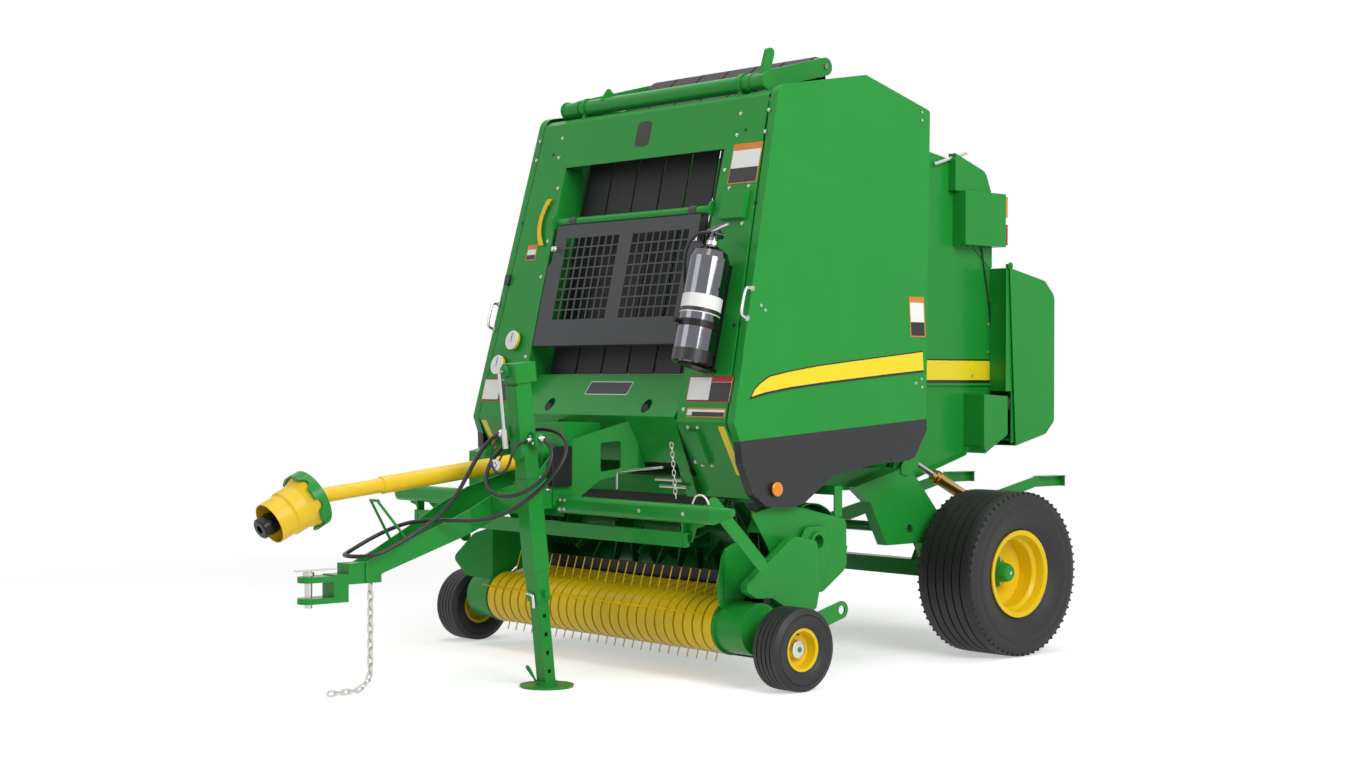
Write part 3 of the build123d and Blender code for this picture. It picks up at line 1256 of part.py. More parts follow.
put("chamber_sides", pair(chamber_side()))
put("front_posts", group(front_post(), front_post(False)))
put("front_panels", group(front_top_panel(), lower_front_panel()))
put("screen_door", screen_door())
put("window_bar", window_bar())
put("gauges", group(size_scale(), dials()))
put("extinguisher", extinguisher())
put("extinguisher_bracket", extinguisher_bracket())
arms, lever = tension_arm()
put("tension_gear", group(tension_tube(), lever, *arms))
put("belt_rollers", group(top_roller(), roller_row(CHAMBER_ROLLERS, CHAMBER_X)))
put("front_belts", belts(FRONT_ROLLERS, BELT_T))
put("side_pivots", group(pair(shield_hinges()), pair(gate_pivot())))
put("shield_panel_left", shield_panel())
put("shield_panel_right", mirrored(shield_panel()))
put("shield_skirt_left", shield_skirt())
put("shield_skirt_right", mirrored(shield_skirt()))
left_gate = gate_side() + chain_box()
put("gate_frame", left_gate + mirrored(left_gate) + gate_cross())
put("gate_rollers", roller_row(GATE_ROLLERS, GATE_X))
put("gate_belts", belts(GATE_ROLLERS, BELT_T))
put("lamp_boxes", pair(lamp_box()))
put("amber_lamps", pair(lamps(2136, 2240)))
put("red_lamps", pair(lamps(1996, 2100)))
put("hood_brackets", pair(hood_bracket()))
tray, tray_end, net_roll, feed_roll = net_tray()
put("net_tray", tray + tray_end + mirrored(tray_end))
put("net_rollers", group(net_roll, feed_roll))
put("net_hood", net_hood())
put("frame_rails", group(pair(frame_rail()), pair(intake_struts()), front_beam()))
left_intake = intake_side() + intake_hood()
put("intake_housing", left_intake + mirrored(left_intake) + intake_floor())
put("feed_rotor", rotor())
left_axle = axle_arm() + spindle()
axle = left_axle + mirrored(left_axle) + axle_beam() + push_bar_bearings()
put("axle", axle + cylinder_bracket())
for side, turn in (("left", lambda shape: shape), ("right", mirrored)):
    put("main_tyre_" + side, turn(main_tyre()))
    put("main_rim_" + side, turn(main_rim() + main_hub()))
    put("gauge_tyre_" + side, turn(gauge_tyre()))
    put("gauge_rim_" + side, turn(gauge_rim()))
put("tongue", tongue() + driveline_support())
put("clevis", clevis())
put("hitch_pin", hitch_pin())
put("safety_chain", group(*safety_chain()))
put("gearbox", gearbox())
put("driveline_guard", driveline_guard())
put("driveline_collar", driveline_collar())
put("driveline_yoke", driveline_yoke())
put("jack_post", jack_post() + jack_head())
put("jack_crank", jack_crank())
put("jack_leg", jack_leg())
put("hose_long", hose(LONG_ROUTE, HOSE_D) - jack_post())
put("hose_short", hose(SHORT_ROUTE, THIN_HOSE_D) - jack_post())
put("front_guard", front_guard())
put("pickup_bands", pickup_bands())
put("pickup_reel", pickup_reel())
left_gather = gather_plate()
put("pickup_frame", pickup_frame() + left_gather + mirrored(left_gather))
put("drive_shield", drive_shield())
put("gauge_arms", pair(gauge_arm()))
put("push_bar", push_bar())
put("push_bar_barrel", cylinder_barrel())
put("push_bar_rod", cylinder_rod())

os.makedirs("parts", exist_ok=True)
for name, shape in parts.items():
    export_step(shape, "parts/" + name + ".step")
whole = Compound(children=list(parts.values())).bounding_box()
print(len(parts), "nodes")
print("box", whole.min, whole.max)
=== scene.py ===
"""Looks of the round baler: paint, rubber, plated steel and the small parts, built round the CAD frame."""
from math import cos, pi, radians, sin

import bmesh
import bpy
from mathutils import Matrix, Vector


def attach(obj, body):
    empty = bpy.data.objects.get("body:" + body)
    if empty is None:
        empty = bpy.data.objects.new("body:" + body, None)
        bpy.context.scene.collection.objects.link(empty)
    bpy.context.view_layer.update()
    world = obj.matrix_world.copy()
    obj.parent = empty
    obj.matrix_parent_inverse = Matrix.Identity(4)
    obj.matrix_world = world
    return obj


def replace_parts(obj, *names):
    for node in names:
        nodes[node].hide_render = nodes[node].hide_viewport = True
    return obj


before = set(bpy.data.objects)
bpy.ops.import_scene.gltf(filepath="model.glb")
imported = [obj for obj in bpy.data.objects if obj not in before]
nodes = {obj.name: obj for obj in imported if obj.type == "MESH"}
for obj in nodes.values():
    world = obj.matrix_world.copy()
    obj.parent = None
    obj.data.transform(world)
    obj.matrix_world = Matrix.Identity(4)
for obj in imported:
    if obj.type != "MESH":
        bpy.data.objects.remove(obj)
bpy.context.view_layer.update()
AXLE = 1.09466             # the main axle, behind the middle of the ground plan


# ---------------------------------------------------------------- materials
def linear(code):
    """sRGB hex to linear RGBA."""
    parts = [int(code[i:i + 2], 16) / 255 for i in (0, 2, 4)]
    return tuple(c / 12.92 if c <= 0.04045 else ((c + 0.055) / 1.055) ** 2.4 for c in parts) + (1.0,)


def add(tree, kind, settings=None, links=None):
    """Adds a node with its settings and its links, and returns it."""
    made = tree.nodes.new(kind)
    for key, value in (settings or {}).items():
        if key in made.inputs:
            made.inputs[key].default_value = value
        else:
            setattr(made, key, value)
    for key, socket in (links or {}).items():
        tree.links.new(socket, made.inputs[key])
    return made


def surface(name, shader):
    """A material with one Principled shader, ready for its patterns."""
    made = bpy.data.materials.new(name)
    made.use_nodes = True
    tree = made.node_tree
    tree.nodes.clear()
    body = add(tree, "ShaderNodeBsdfPrincipled", shader)
    out = add(tree, "ShaderNodeOutputMaterial", links={"Surface": body.outputs["BSDF"]})
    place = add(tree, "ShaderNodeTexCoord").outputs["Object"]
    return made, tree, body, place


def blended_colour(tree, body, share, first, second):
    """Feeds the shader a colour that runs from one to the other."""
    mix = add(tree, "ShaderNodeMix", {"data_type": "RGBA"})
    tree.links.new(share, mix.inputs[0])
    mix.inputs[6].default_value = linear(first)
    mix.inputs[7].default_value = linear(second)
    tree.links.new(mix.outputs[2], body.inputs["Base Color"])


def sprayed_enamel(name, colour, deep, gloss):
    """Baked enamel sprayed on sheet steel: an even colour under a clear gloss, with the faint ripple
    of sprayed paint and slightly deeper tone where it pooled."""
    made, tree, body, place = surface(name, {"Coat Weight": 0.12, "Coat Roughness": 0.08,
                                               "Specular IOR Level": 0.22})
    tone = add(tree, "ShaderNodeTexNoise", {"Scale": 2.2, "Detail": 3.0}, {"Vector": place})
    blended_colour(tree, body, tone.outputs["Fac"], colour, deep)
    smear = add(tree, "ShaderNodeTexNoise", {"Scale": 9.0, "Detail": 4.0}, {"Vector": place})
    dull = add(tree, "ShaderNodeMapRange", {"To Min": gloss - 0.05, "To Max": gloss + 0.08},
               {"Value": smear.outputs["Fac"]})
    tree.links.new(dull.outputs["Result"], body.inputs["Roughness"])
    edge = add(tree, "ShaderNodeBevel", {"samples": 3, "Radius": 0.003})
    peel = add(tree, "ShaderNodeTexNoise", {"Scale": 260.0, "Detail": 1.0}, {"Vector": place})
    bump = add(tree, "ShaderNodeBump", {"Strength": 0.035, "Distance": 0.001},
               {"Height": peel.outputs["Fac"], "Normal": edge.outputs["Normal"]})
    tree.links.new(bump.outputs["Normal"], body.inputs["Normal"])
    return made


# Baked enamel on sheet steel: a clean, even green or yellow with a soft gloss, a shade deeper here and
# there over half a metre, and a ripple of 4 mm, drawn coarser than real orange peel so that it shows.
GREEN = sprayed_enamel("green_enamel", "229537", "1D8C32", 0.30)
YELLOW = sprayed_enamel("yellow_enamel", "F7D117", "EBC40E", 0.32)
# Powder coat and black enamel: duller, so that edges catch little light.
SCREEN_GREY = sprayed_enamel("charcoal_powder_coat", "4A4B4D", "434446", 0.42)
BLACK_PAINT = sprayed_enamel("black_enamel", "141414", "0E0E0E", 0.35)
# Painted shade: the rotor deep in the machine gets a green darker than the outer sheets, for the shade that
# falls there, and more matt.
SHADE_GREEN = sprayed_enamel("painted_shade_green", "1A6E2C", "14571F", 0.4)


def plain(name, colour, roughness, metallic=0.0, grain=400.0, depth=0.05):
    """A surface of one colour whose gloss and bump vary with a fine grain, given in grains per metre."""
    made, tree, body, place = surface(name, {"Base Color": linear(colour), "Metallic": metallic})
    noise = add(tree, "ShaderNodeTexNoise", {"Scale": grain, "Detail": 3.0}, {"Vector": place})
    dull = add(tree, "ShaderNodeMapRange", {"To Min": roughness - 0.06, "To Max": roughness + 0.06},
               {"Value": noise.outputs["Fac"]})
    tree.links.new(dull.outputs["Result"], body.inputs["Roughness"])
    bump = add(tree, "ShaderNodeBump", {"Strength": depth, "Distance": 0.001},
               {"Height": noise.outputs["Fac"]})
    tree.links.new(bump.outputs["Normal"], body.inputs["Normal"])
    return made


# Rubber: near black and matt. A grain of 3 mm on the tyres, 2 mm on the belts, where it is the weave and
# deeper, and 1 mm on the hoses breaks up the sheen.
TYRE = plain("vulcanised_tread_rubber", "141415", 0.55, grain=300.0, depth=0.12)
BELT = plain("woven_belt_rubber", "141415", 0.6, grain=500.0, depth=0.3)
HOSE = plain("hose_rubber", "151516", 0.42, grain=900.0, depth=0.1)
# Moulded polyethylene: a waxy sheen over a texture of 1.5 to 2 mm.
SKIRT = plain("moulded_black_polyethylene", "1C1D1F", 0.45, grain=700.0, depth=0.08)
GUARD_YELLOW = plain("moulded_yellow_polyethylene", "F2C81A", 0.4, grain=500.0, depth=0.06)
# Metals: bright zinc on fasteners, yellow passivation on the cylinder, rolled steel worn by the belts, and
# the dark mirror of the extinguisher; the grain of 8 to 50 mm is the cloudy finish of the plating.
ZINC = plain("zinc_plated_steel", "C9C9C4", 0.3, 1.0, 120.0, 0.04)
GOLD = plain("passivated_zinc", "C7A560", 0.3, 1.0, 90.0, 0.04)
STEEL = plain("worn_roller_steel", "8C8A86", 0.4, 1.0, 60.0, 0.08)
CHROME = plain("dark_chrome", "6C6D72", 0.1, 1.0, 20.0, 0.01)
# Acrylic lenses: deep colour under a sharp gloss.
AMBER = plain("amber_acrylic", "F08A1E", 0.15)
RED = plain("red_acrylic", "B3150F", 0.15)
# Net wrap: threads about a millimetre apart, with no gloss.
NET = plain("net_wrap", "E8E8E2", 0.8, grain=900.0, depth=0.6)

# Printed vinyl films on plates and stripes: smooth and slightly glossy.
LABEL_WHITE = plain("printed_white_film", "F2F2EE", 0.35, grain=30.0, depth=0.01)
LABEL_BLACK = plain("printed_black_film", "1A1A1A", 0.35, grain=30.0, depth=0.01)
LABEL_ORANGE = plain("printed_orange_film", "D9822B", 0.35, grain=30.0, depth=0.01)
LABEL_RED = plain("printed_red_film", "B0282A", 0.35, grain=30.0, depth=0.01)
STRIPE = plain("yellow_vinyl_film", "F4DC1E", 0.3, grain=25.0, depth=0.01)
# Painted shade: near black for holes and recesses, which light hardly reaches.
PAINTED_SHADE = plain("painted_shade_black", "0C0F0C", 0.7, grain=60.0, depth=0.1)

finishes = {
    GREEN: ["chamber_sides", "front_posts", "front_panels", "window_bar", "tension_gear", "side_pivots",
            "shield_panel_left", "shield_panel_right", "gate_frame", "lamp_boxes", "hood_brackets",
            "net_hood", "frame_rails", "intake_housing", "axle", "tongue", "clevis", "gearbox",
            "jack_post", "jack_leg", "front_guard", "pickup_frame", "drive_shield", "gauge_arms",
            "push_bar", "driveline_collar", "net_tray"],
    YELLOW: ["pickup_bands", "main_rim_left", "main_rim_right", "gauge_rim_left", "gauge_rim_right",
             "gauges", "pickup_reel"],
    GUARD_YELLOW: ["driveline_guard"],
    SCREEN_GREY: ["screen_door"],
    BLACK_PAINT: ["extinguisher_bracket", "driveline_yoke"],
    SKIRT: ["shield_skirt_left", "shield_skirt_right"],
    BELT: ["front_belts", "gate_belts"],
    STEEL: ["belt_rollers", "gate_rollers"],
    # The feed rotor takes the darker green: painted shade.
    SHADE_GREEN: ["feed_rotor"],
    TYRE: ["main_tyre_left", "main_tyre_right", "gauge_tyre_left", "gauge_tyre_right"],
    ZINC: ["safety_chain", "jack_crank", "hitch_pin", "push_bar_rod"],
    GOLD: ["push_bar_barrel"],
    CHROME: ["extinguisher"],
    AMBER: ["amber_lamps"],
    RED: ["red_lamps"],
    NET: ["net_rollers"],
    HOSE: ["hose_long", "hose_short"],
}
for material, names in finishes.items():
    for name in names:
        nodes[name].data.materials.clear()
        nodes[name].data.materials.append(material)


# ---------------------------------------------------------------- small mesh tools, in millimetres
MM = 0.001
scene = bpy.context.scene


def spot(x, y, z):
    """A place in millimetres from the main axle."""
    return Vector((x * MM, y * MM + AXLE, z * MM))


def face_of(origin, across, up):
    """A flat face: its origin, its two directions and its outward direction."""
    across = Vector(across).normalized()
    up = Vector(up).normalized()
    return spot(*origin), across, up, across.cross(up)


CORNER_Y, CORNER_Z = -1734, 1132           # bend between the front and the chin
FRONT = face_of((0, CORNER_Y, CORNER_Z), (1, 0, 0), (0, 348, 1468))
CHIN = face_of((0, CORNER_Y, CORNER_Z), (1, 0, 0), (0, -177, 332))
LEDGE = face_of((0, -1744, 1152), (1, 0, 0), (0, 133, 185))
SHIELD = face_of((942, 0, CORNER_Z), (0, 1, 0), (-89, 0, 1468))
GATE = face_of((618.4, 0, 0), (0, 1, 0), (0, 0, 1))


def on(face, a, b, out=0.0):
    """A place on a face, and how far it stands out from it."""
    origin, across, up, normal = face
    return origin + (across * a + up * b + normal * out) * MM


def box_outline(a0, a1, b0, b1, corner=0.0, steps=4):
    """A rectangle's outline, with round corners where a radius is given."""
    if corner <= 0:
        return [(a0, b0), (a1, b0), (a1, b1), (a0, b1)]
    turns = [(a1 - corner, b0 + corner, -90), (a1 - corner, b1 - corner, 0),
             (a0 + corner, b1 - corner, 90), (a0 + corner, b0 + corner, 180)]
    return [(a + corner * cos(radians(start + 90 * i / steps)),
             b + corner * sin(radians(start + 90 * i / steps)))
            for a, b, start in turns for i in range(steps + 1)]


def prism(mesh, face, outline, low, high):
    """A flat outline on a face, from one height to another."""
    rings = [[mesh.verts.new(on(face, a, b, h)) for a, b in outline] for h in (low, high)]
    mesh.faces.new(rings[1])
    mesh.faces.new(rings[0][::-1])
    for i in range(len(outline)):
        j = (i + 1) % len(outline)
        mesh.faces.new((rings[0][i], rings[0][j], rings[1][j], rings[1][i]))


def lathe(mesh, place, way, profile, steps=32, closed=False):
    """Turns (radius, height) points round a line from a place."""
    way = Vector(way).normalized()
    side = way.orthogonal().normalized()
    other = way.cross(side)
    rings = []
    for radius, height in profile:
        middle = place + way * height * MM
        count = 1 if radius <= 0 else steps
        rings.append([mesh.verts.new(middle + (side * cos(2 * pi * i / steps)
                                               + other * sin(2 * pi * i / steps)) * radius * MM)
                      for i in range(count)])
    pairs = list(zip(rings, rings[1:])) + ([(rings[-1], rings[0])] if closed else [])
    for low, high in pairs:
        for i in range(steps):
            j = (i + 1) % steps
            corners = [low[i % len(low)], low[j % len(low)], high[j % len(high)], high[i % len(high)]]
            corners = list(dict.fromkeys(corners))
            if len(corners) > 2:
                mesh.faces.new(corners)


def piece(name, mesh, material, body, bevel=0.0, smooth=False):
    """Makes an object of a mesh and hangs it on its body."""
    bmesh.ops.recalc_face_normals(mesh, faces=mesh.faces)
    data = bpy.data.meshes.new(name)
    mesh.to_mesh(data)
    mesh.free()
    data.materials.append(material)
    made = bpy.data.objects.new(name, data)
    scene.collection.objects.link(made)
    if smooth:
        data.shade_smooth()
        rounding = made.modifiers.new("sharp", "EDGE_SPLIT")
        rounding.split_angle = radians(38)
    if bevel:
        edge = made.modifiers.new("edge", "BEVEL")
        edge.width = bevel * MM
        edge.segments = 2
        edge.limit_method = "ANGLE"
    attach(made, body)
    return made


def twin(made, body):
    """The same piece on the other side of the machine."""
    other = made.copy()
    other.data = made.data.copy()
    other.name = made.name + "_right"
    other.data.transform(Matrix.Scale(-1, 4, (1, 0, 0)))
    other.data.flip_normals()
    scene.collection.objects.link(other)
    other.parent = None
    other.matrix_world = Matrix.Identity(4)
    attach(other, body)
    return other


def slab(name, face, outline, low, high, material, body, bevel=0.0):
    """A flat plate on a face."""
    mesh = bmesh.new()
    prism(mesh, face, outline, low, high)
    return piece(name, mesh, material, body, bevel)


def turned(name, place, way, profile, material, body, steps=32, closed=False):
    """A turned piece."""
    mesh = bmesh.new()
    lathe(mesh, place, way, profile, steps, closed)
    return piece(name, mesh, material, body, smooth=True)


def pipe(name, points, radius, material, body, order=3):
    """A round bar, wire or hose along its points."""
    data = bpy.data.curves.new(name, "CURVE")
    data.dimensions = "3D"
    line = data.splines.new("NURBS")
    line.points.add(len(points) - 1)
    for point, place in zip(line.points, points):
        point.co = (*place, 1.0)
    line.order_u = order
    line.use_endpoint_u = True
    line.resolution_u = 8
    data.bevel_depth = radius * MM
    data.bevel_resolution = 4
    data.use_fill_caps = True
    data.materials.append(material)
    made = bpy.data.objects.new(name, data)
    scene.collection.objects.link(made)
    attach(made, body)
    return made


def bolts(name, places, size, material, body):
    """Hexagon heads on their washers; places are (place, outward direction)."""
    mesh = bmesh.new()
    for place, out in places:
        lathe(mesh, place, out, [(0, -1), (size, -1), (size, size * 0.14), (0, size * 0.14)], 16)
        lathe(mesh, place, out, [(0, 0), (size * 0.78, size * 0.1), (size * 0.78, size * 0.62),
                                 (size * 0.6, size * 0.74), (0, size * 0.74)], 6)
    return piece(name, mesh, material, body)


def links(name, points, wire, length, width, material, body):
    """A chain of round-wire links along a line, each a quarter turn from the last."""
    mesh = bmesh.new()
    line = [Vector(point) for point in points]
    gaps = [(b - a).length for a, b in zip(line, line[1:])]
    pitch = (length - 2 * wire) * MM
    count = int(sum(gaps) / pitch)
    for number in range(count):
        reach = (number + 0.5) * pitch
        for start, end, gap in zip(line, line[1:], gaps):
            if reach <= gap:
                break
            reach -= gap
        along = (end - start).normalized()
        middle = start + along * reach
        side = along.orthogonal().normalized()
        other = along.cross(side)
        if number % 2:
            side, other = other, side
        straight, bend = (length - width) / 2, (width - wire) / 2
        ring = []
        for turn in range(0, 360, 30):
            a = radians(turn)
            push = straight if cos(a) >= 0 else -straight
            centre = middle + along * (push + bend * cos(a)) * MM + side * bend * sin(a) * MM
            out = along * cos(a) + side * sin(a)
            ring.append([mesh.verts.new(centre + (out * cos(radians(b)) + other * sin(radians(b)))
                                        * wire / 2 * MM) for b in range(0, 360, 60)])
        for low, high in zip(ring, ring[1:] + ring[:1]):
            for i in range(6):
                j = (i + 1) % 6
                mesh.faces.new((low[i], low[j], high[j], high[i]))
    piece(name, mesh, material, body, smooth=True)


def label(name, face, a0, a1, b0, b1, out, body, head, head_colour, panel=0.45):
    """A blank printed plate: a film with its coloured head and a dark panel, and nothing written."""
    slab(name, face, box_outline(a0, a1, b0, b1, 5), out, out + 0.6, head_colour, body)
    inset = 5
    top = b1 - inset - head
    slab(name + "_film", face, box_outline(a0 + inset, a1 - inset, b0 + inset, top, 2), out + 0.5,
         out + 0.9, LABEL_WHITE, body)
    slab(name + "_panel", face, box_outline(a0 + inset, a1 - inset, b0 + inset,
                                            b0 + inset + (top - b0 - inset) * panel, 2),
         out + 0.8, out + 1.2, LABEL_BLACK, body)


# ---------------------------------------------------------------- tyres
WHEEL_X, WHEEL_Z = 950, 394                # middle of a main wheel, whose Y is that of the axle
GAUGE_X, GAUGE_Y, GAUGE_Z = 1149.5, -1582, 178
NUT_CIRCLE = 64                            # radius of the circle of nuts


def ribbed_tyre(name, node, body, x, y, z, radius, width, bead, ribs, groove, bars):
    """A tyre with round shoulders, rings on its walls and grooves between its ribs."""
    half = width / 2
    face = [(-half * 0.86 + half * 1.72 * i / ribs) for i in range(ribs + 1)]
    tread = []
    for i in range(1, ribs):
        edge = face[i]
        gap = groove * 0.5
        tread += [(radius, edge - gap), (radius - groove, edge - gap * 0.6),
                  (radius - groove, edge + gap * 0.6), (radius, edge + gap)]
    wall = [(radius - 1, half * 0.84), (radius - 7, half * 0.93), (radius - 26, half * 0.985),
            (radius - 60 * radius / 394, half), (radius - 64 * radius / 394, half - 2.5),
            (radius - 68 * radius / 394, half), ((radius + bead) / 2, half * 0.99),
            (bead + 40 * radius / 394, half * 0.9), (bead + 34 * radius / 394, half * 0.87),
            (bead + 8, half * 0.8), (bead - 8, half * 0.74), (bead - 8, half * 0.6)]
    far = [(r, -h) for r, h in wall[::-1]]
    mesh = bmesh.new()
    lathe(mesh, spot(x, y, z), (1, 0, 0), far + tread + wall, 96, closed=True)
    for i in range(bars):
        angle = 2 * pi * i / bars
        for side in (-1, 1):
            out = Vector((0, cos(angle), sin(angle)))
            along = Vector((0, -sin(angle), cos(angle)))
            middle = spot(x, y, z) + out * (radius - 12) * MM + Vector((side * half * 0.93 * MM, 0, 0))
            bar = (middle, along, Vector((side, 0, 0)), out)
            prism(mesh, bar, box_outline(-groove * 0.5, groove * 0.5, -6, 6), -8, 9)
    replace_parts(piece(name, mesh, TYRE, body, smooth=True), node)


for side, sign in (("left", 1), ("right", -1)):
    ribbed_tyre("road_tyre_" + side, "main_tyre_" + side, "wheel_" + side, sign * WHEEL_X, 0, WHEEL_Z,
                393.5, 344, 208, 6, 9, 64)
    ribbed_tyre("small_tyre_" + side, "gauge_tyre_" + side, "gauge_wheel_" + side, sign * GAUGE_X, GAUGE_Y,
                GAUGE_Z, 177.6, 149, 92, 5, 6, 0)
    out = Vector((sign, 0, 0))
    nuts = [(spot(sign * 942.5, NUT_CIRCLE * cos(radians(60 * i)),
                  WHEEL_Z + NUT_CIRCLE * sin(radians(60 * i))), out) for i in range(6)]
    bolts("wheel_nuts_" + side, nuts, 11, ZINC, "wheel_" + side)
    turned("hub_" + side, spot(sign * WHEEL_X, 0, WHEEL_Z), out,
           [(75.5, -9), (75.5, -6.8), (53, -2.6), (52, 0), (47.5, 44), (41.5, 71), (36, 78), (27, 80),
            (0, 80)], GREEN, "wheel_" + side, 48)
    turned("grease_cap_" + side, spot(sign * WHEEL_X, 0, WHEEL_Z), out,
           [(0, 79.5), (9, 79.5), (8, 86), (0, 87)], ZINC, "wheel_" + side, 20)
    turned("small_hub_" + side, spot(sign * GAUGE_X, GAUGE_Y, GAUGE_Z), out,
           [(42, 4.6), (37.5, 34.5), (30, 38), (16, 39), (0, 40)], ZINC, "gauge_wheel_" + side, 36)
    pipe("valve_" + side, [spot(sign * (GAUGE_X + 14), GAUGE_Y, GAUGE_Z + 66),
                           spot(sign * (GAUGE_X + 34), GAUGE_Y, GAUGE_Z + 62)], 4, LABEL_BLACK,
         "gauge_wheel_" + side, order=2)

# ---------------------------------------------------------------- stripes on the shields and the gate
STRIPE_TOP = [(-1625, 112), (-1604, 142), (-1572, 166), (-1512, 197), (-1390, 220), (-1200, 246),
              (-1011, 266), (-760, 291), (-512, 316)]
STRIPE_LOW = [(-512, 232), (-760, 212), (-1010, 190), (-1200, 173), (-1390, 153), (-1542, 131)]


def stripe():
    """A yellow band with thin black borders, swept up along the shield, and its run on to the gate."""
    yellow = STRIPE_LOW + STRIPE_TOP
    black = [(a, b - 11) for a, b in STRIPE_LOW] + [(-1640, 98)] + [(a, b + 6) for a, b in STRIPE_TOP]
    made = [slab("stripe_border", SHIELD, black, 0.2, 0.7, LABEL_BLACK, "shield_left"),
            slab("stripe_yellow", SHIELD, yellow, 0.4, 1.1, STRIPE, "shield_left")]
    for one in made:
        twin(one, "shield_right")
    made = [slab("gate_stripe_border", GATE, box_outline(-470, 350, 1304, 1422), 0.2, 0.7,
                 LABEL_BLACK, "gate"),
            slab("gate_stripe_yellow", GATE, box_outline(-468, 345, 1318, 1414), 0.4, 1.1, STRIPE, "gate")]
    for one in made:
        twin(one, "gate")


stripe()

# ---------------------------------------------------------------- blank plates
FILM = 4.4                                 # height of plates and films on the front, just clear of its sheet
label("fire_plate", FRONT, 632, 819, 1080, 1266, FILM, "chassis", 26, LABEL_ORANGE)
label("post_plate", FRONT, 615, 895, 87, 205, FILM, "chassis", 2, LABEL_RED, 0.05)
slab("post_plate_panel_dark", FRONT, box_outline(760, 889, 93, 176), 5.4, 5.8, LABEL_BLACK, "chassis")
slab("post_plate_head", FRONT, box_outline(760, 889, 178, 199), 5.4, 5.8, LABEL_RED, "chassis")
label("low_plate", FRONT, 633, 880, 21, 62, FILM, "chassis", 2, LABEL_ORANGE, 0.05)
slab("low_plate_panel_dark", FRONT, box_outline(670, 874, 27, 44), 5.4, 5.8, LABEL_BLACK, "chassis")
label("far_plate", FRONT, -894, -673, 76, 192, FILM, "chassis", 2, LABEL_RED, 0.05)
slab("far_plate_panel_dark", FRONT, box_outline(-760, -679, 82, 180), 5.4, 5.8, LABEL_BLACK, "chassis")
label("small_far_plate", FRONT, -752, -676, 788, 868, FILM, "chassis", 20, LABEL_ORANGE)
slab("ledge_plate", LEDGE, box_outline(-132, 172, 112, 186, 4), 4.2, 5.2, ZINC, "chassis")
slab("ledge_plate_panel", LEDGE, box_outline(-128, 168, 116, 182, 3), 5, 5.6, LABEL_BLACK, "chassis")
slab("top_plate", FRONT, box_outline(-70, 30, 1316, 1438, 24), 4.2, 6.2, LABEL_BLACK, "chassis", 0.6)
shield_plate = [slab("shield_plate", SHIELD, box_outline(-592, -487, 386, 574, 5), 0.3, 0.8,
                     LABEL_ORANGE, "shield_left"),
                slab("shield_plate_film", SHIELD, box_outline(-586, -493, 392, 546, 2), 0.7, 1.1,
                     LABEL_WHITE, "shield_left"),
                slab("shield_plate_panel", SHIELD, box_outline(-586, -493, 392, 455, 2), 1.0, 1.4,
                     LABEL_BLACK, "shield_left")]
for made in shield_plate:
    twin(made, "shield_right")

# ---------------------------------------------------------------- front of the machine
front_out = FRONT[3]
chin_out = CHIN[3]
spots = [(on(FRONT, x, s, 4), front_out) for x in (-600, 600) for s in (300, 700, 880, 1150)]
spots += [(on(FRONT, x, s, 4), front_out) for x in (-820, -640, 640, 820) for s in (1310, 1410)]
spots += [(on(FRONT, x, 54, 4), front_out) for x in (-610, 610)]
spots += [(on(FRONT, x, s, 4), front_out) for x in (652, 776) for s in (892, 1062)]
spots += [(on(CHIN, x, -d, 4), chin_out) for x in (640, 702) for d in (26, 214)]
spots += [(on(CHIN, x, -200, 4), chin_out) for x in (-840, -640, -600, 600)]
bolts("front_bolts", spots, 9, ZINC, "chassis")
slab("reflector_strip", CHIN, box_outline(836, 876, -258, -16, 2), FILM, 5.2, STRIPE, "chassis")
slab("far_reflector_strip", CHIN, box_outline(-876, -836, -258, -16, 2), FILM, 5.2, STRIPE, "chassis")
for name, x, low, high in (("near_handle", 915, 459, 592), ("far_handle", -905, 442, 570)):
    arch = [on(FRONT, x, low, 2), on(FRONT, x, low, 34), on(FRONT, x, low + 18, 46),
            on(FRONT, x, high - 18, 46), on(FRONT, x, high, 34), on(FRONT, x, high, 2)]
    pipe(name, arch, 7, ZINC, "chassis")
    bolts(name + "_feet", [(on(FRONT, x, low, 4), front_out), (on(FRONT, x, high, 4), front_out)], 13,
          ZINC, "chassis")
for name, face, x, b in (("upper_clip", FRONT, -857, 692), ("chin_clip", CHIN, -930, -135)):
    slab(name, face, box_outline(x - 16, x + 16, b - 26, b + 26, 6), 3, 22, LABEL_BLACK, "chassis", 2)
# Near-black discs over the holes in the front sheets: painted shade for the insides of the holes.
holes = bmesh.new()
for x in (-350, 350):
    lathe(holes, on(FRONT, x, 52, FILM), front_out, [(0, 0), (24, 0), (24, 0.6), (0, 0.6)], 28)
for x, s in ((835, 985), (840, 430), (-835, 985), (690, 1330), (-690, 1330)):
    lathe(holes, on(FRONT, x, s, FILM), front_out, [(0, 0), (9, 0), (9, 0.6), (0, 0.6)], 20)
piece("painted_shade_holes", holes, PAINTED_SHADE, "chassis")

# dials over the yellow gauges on the far post
for name, x, s in (("upper_dial", -702, 378), ("lower_dial", -785, 255)):
    turned(name, on(FRONT, x, s, 30), front_out, [(0, 0), (46, 0), (48, 2), (46, 4.5), (0, 4.5)],
           LABEL_WHITE, "chassis", 48)
    turned(name + "_stub", on(FRONT, x, s, 34), front_out, [(0, 0), (6, 0), (6, 5), (0, 6)], ZINC,
           "chassis", 20)
    slab(name + "_hand", FRONT, [(x - 3, s - 8), (x + 3, s - 8), (x + 1, s + 36), (x - 1, s + 36)], 34.6, 36,
         LABEL_BLACK, "chassis")

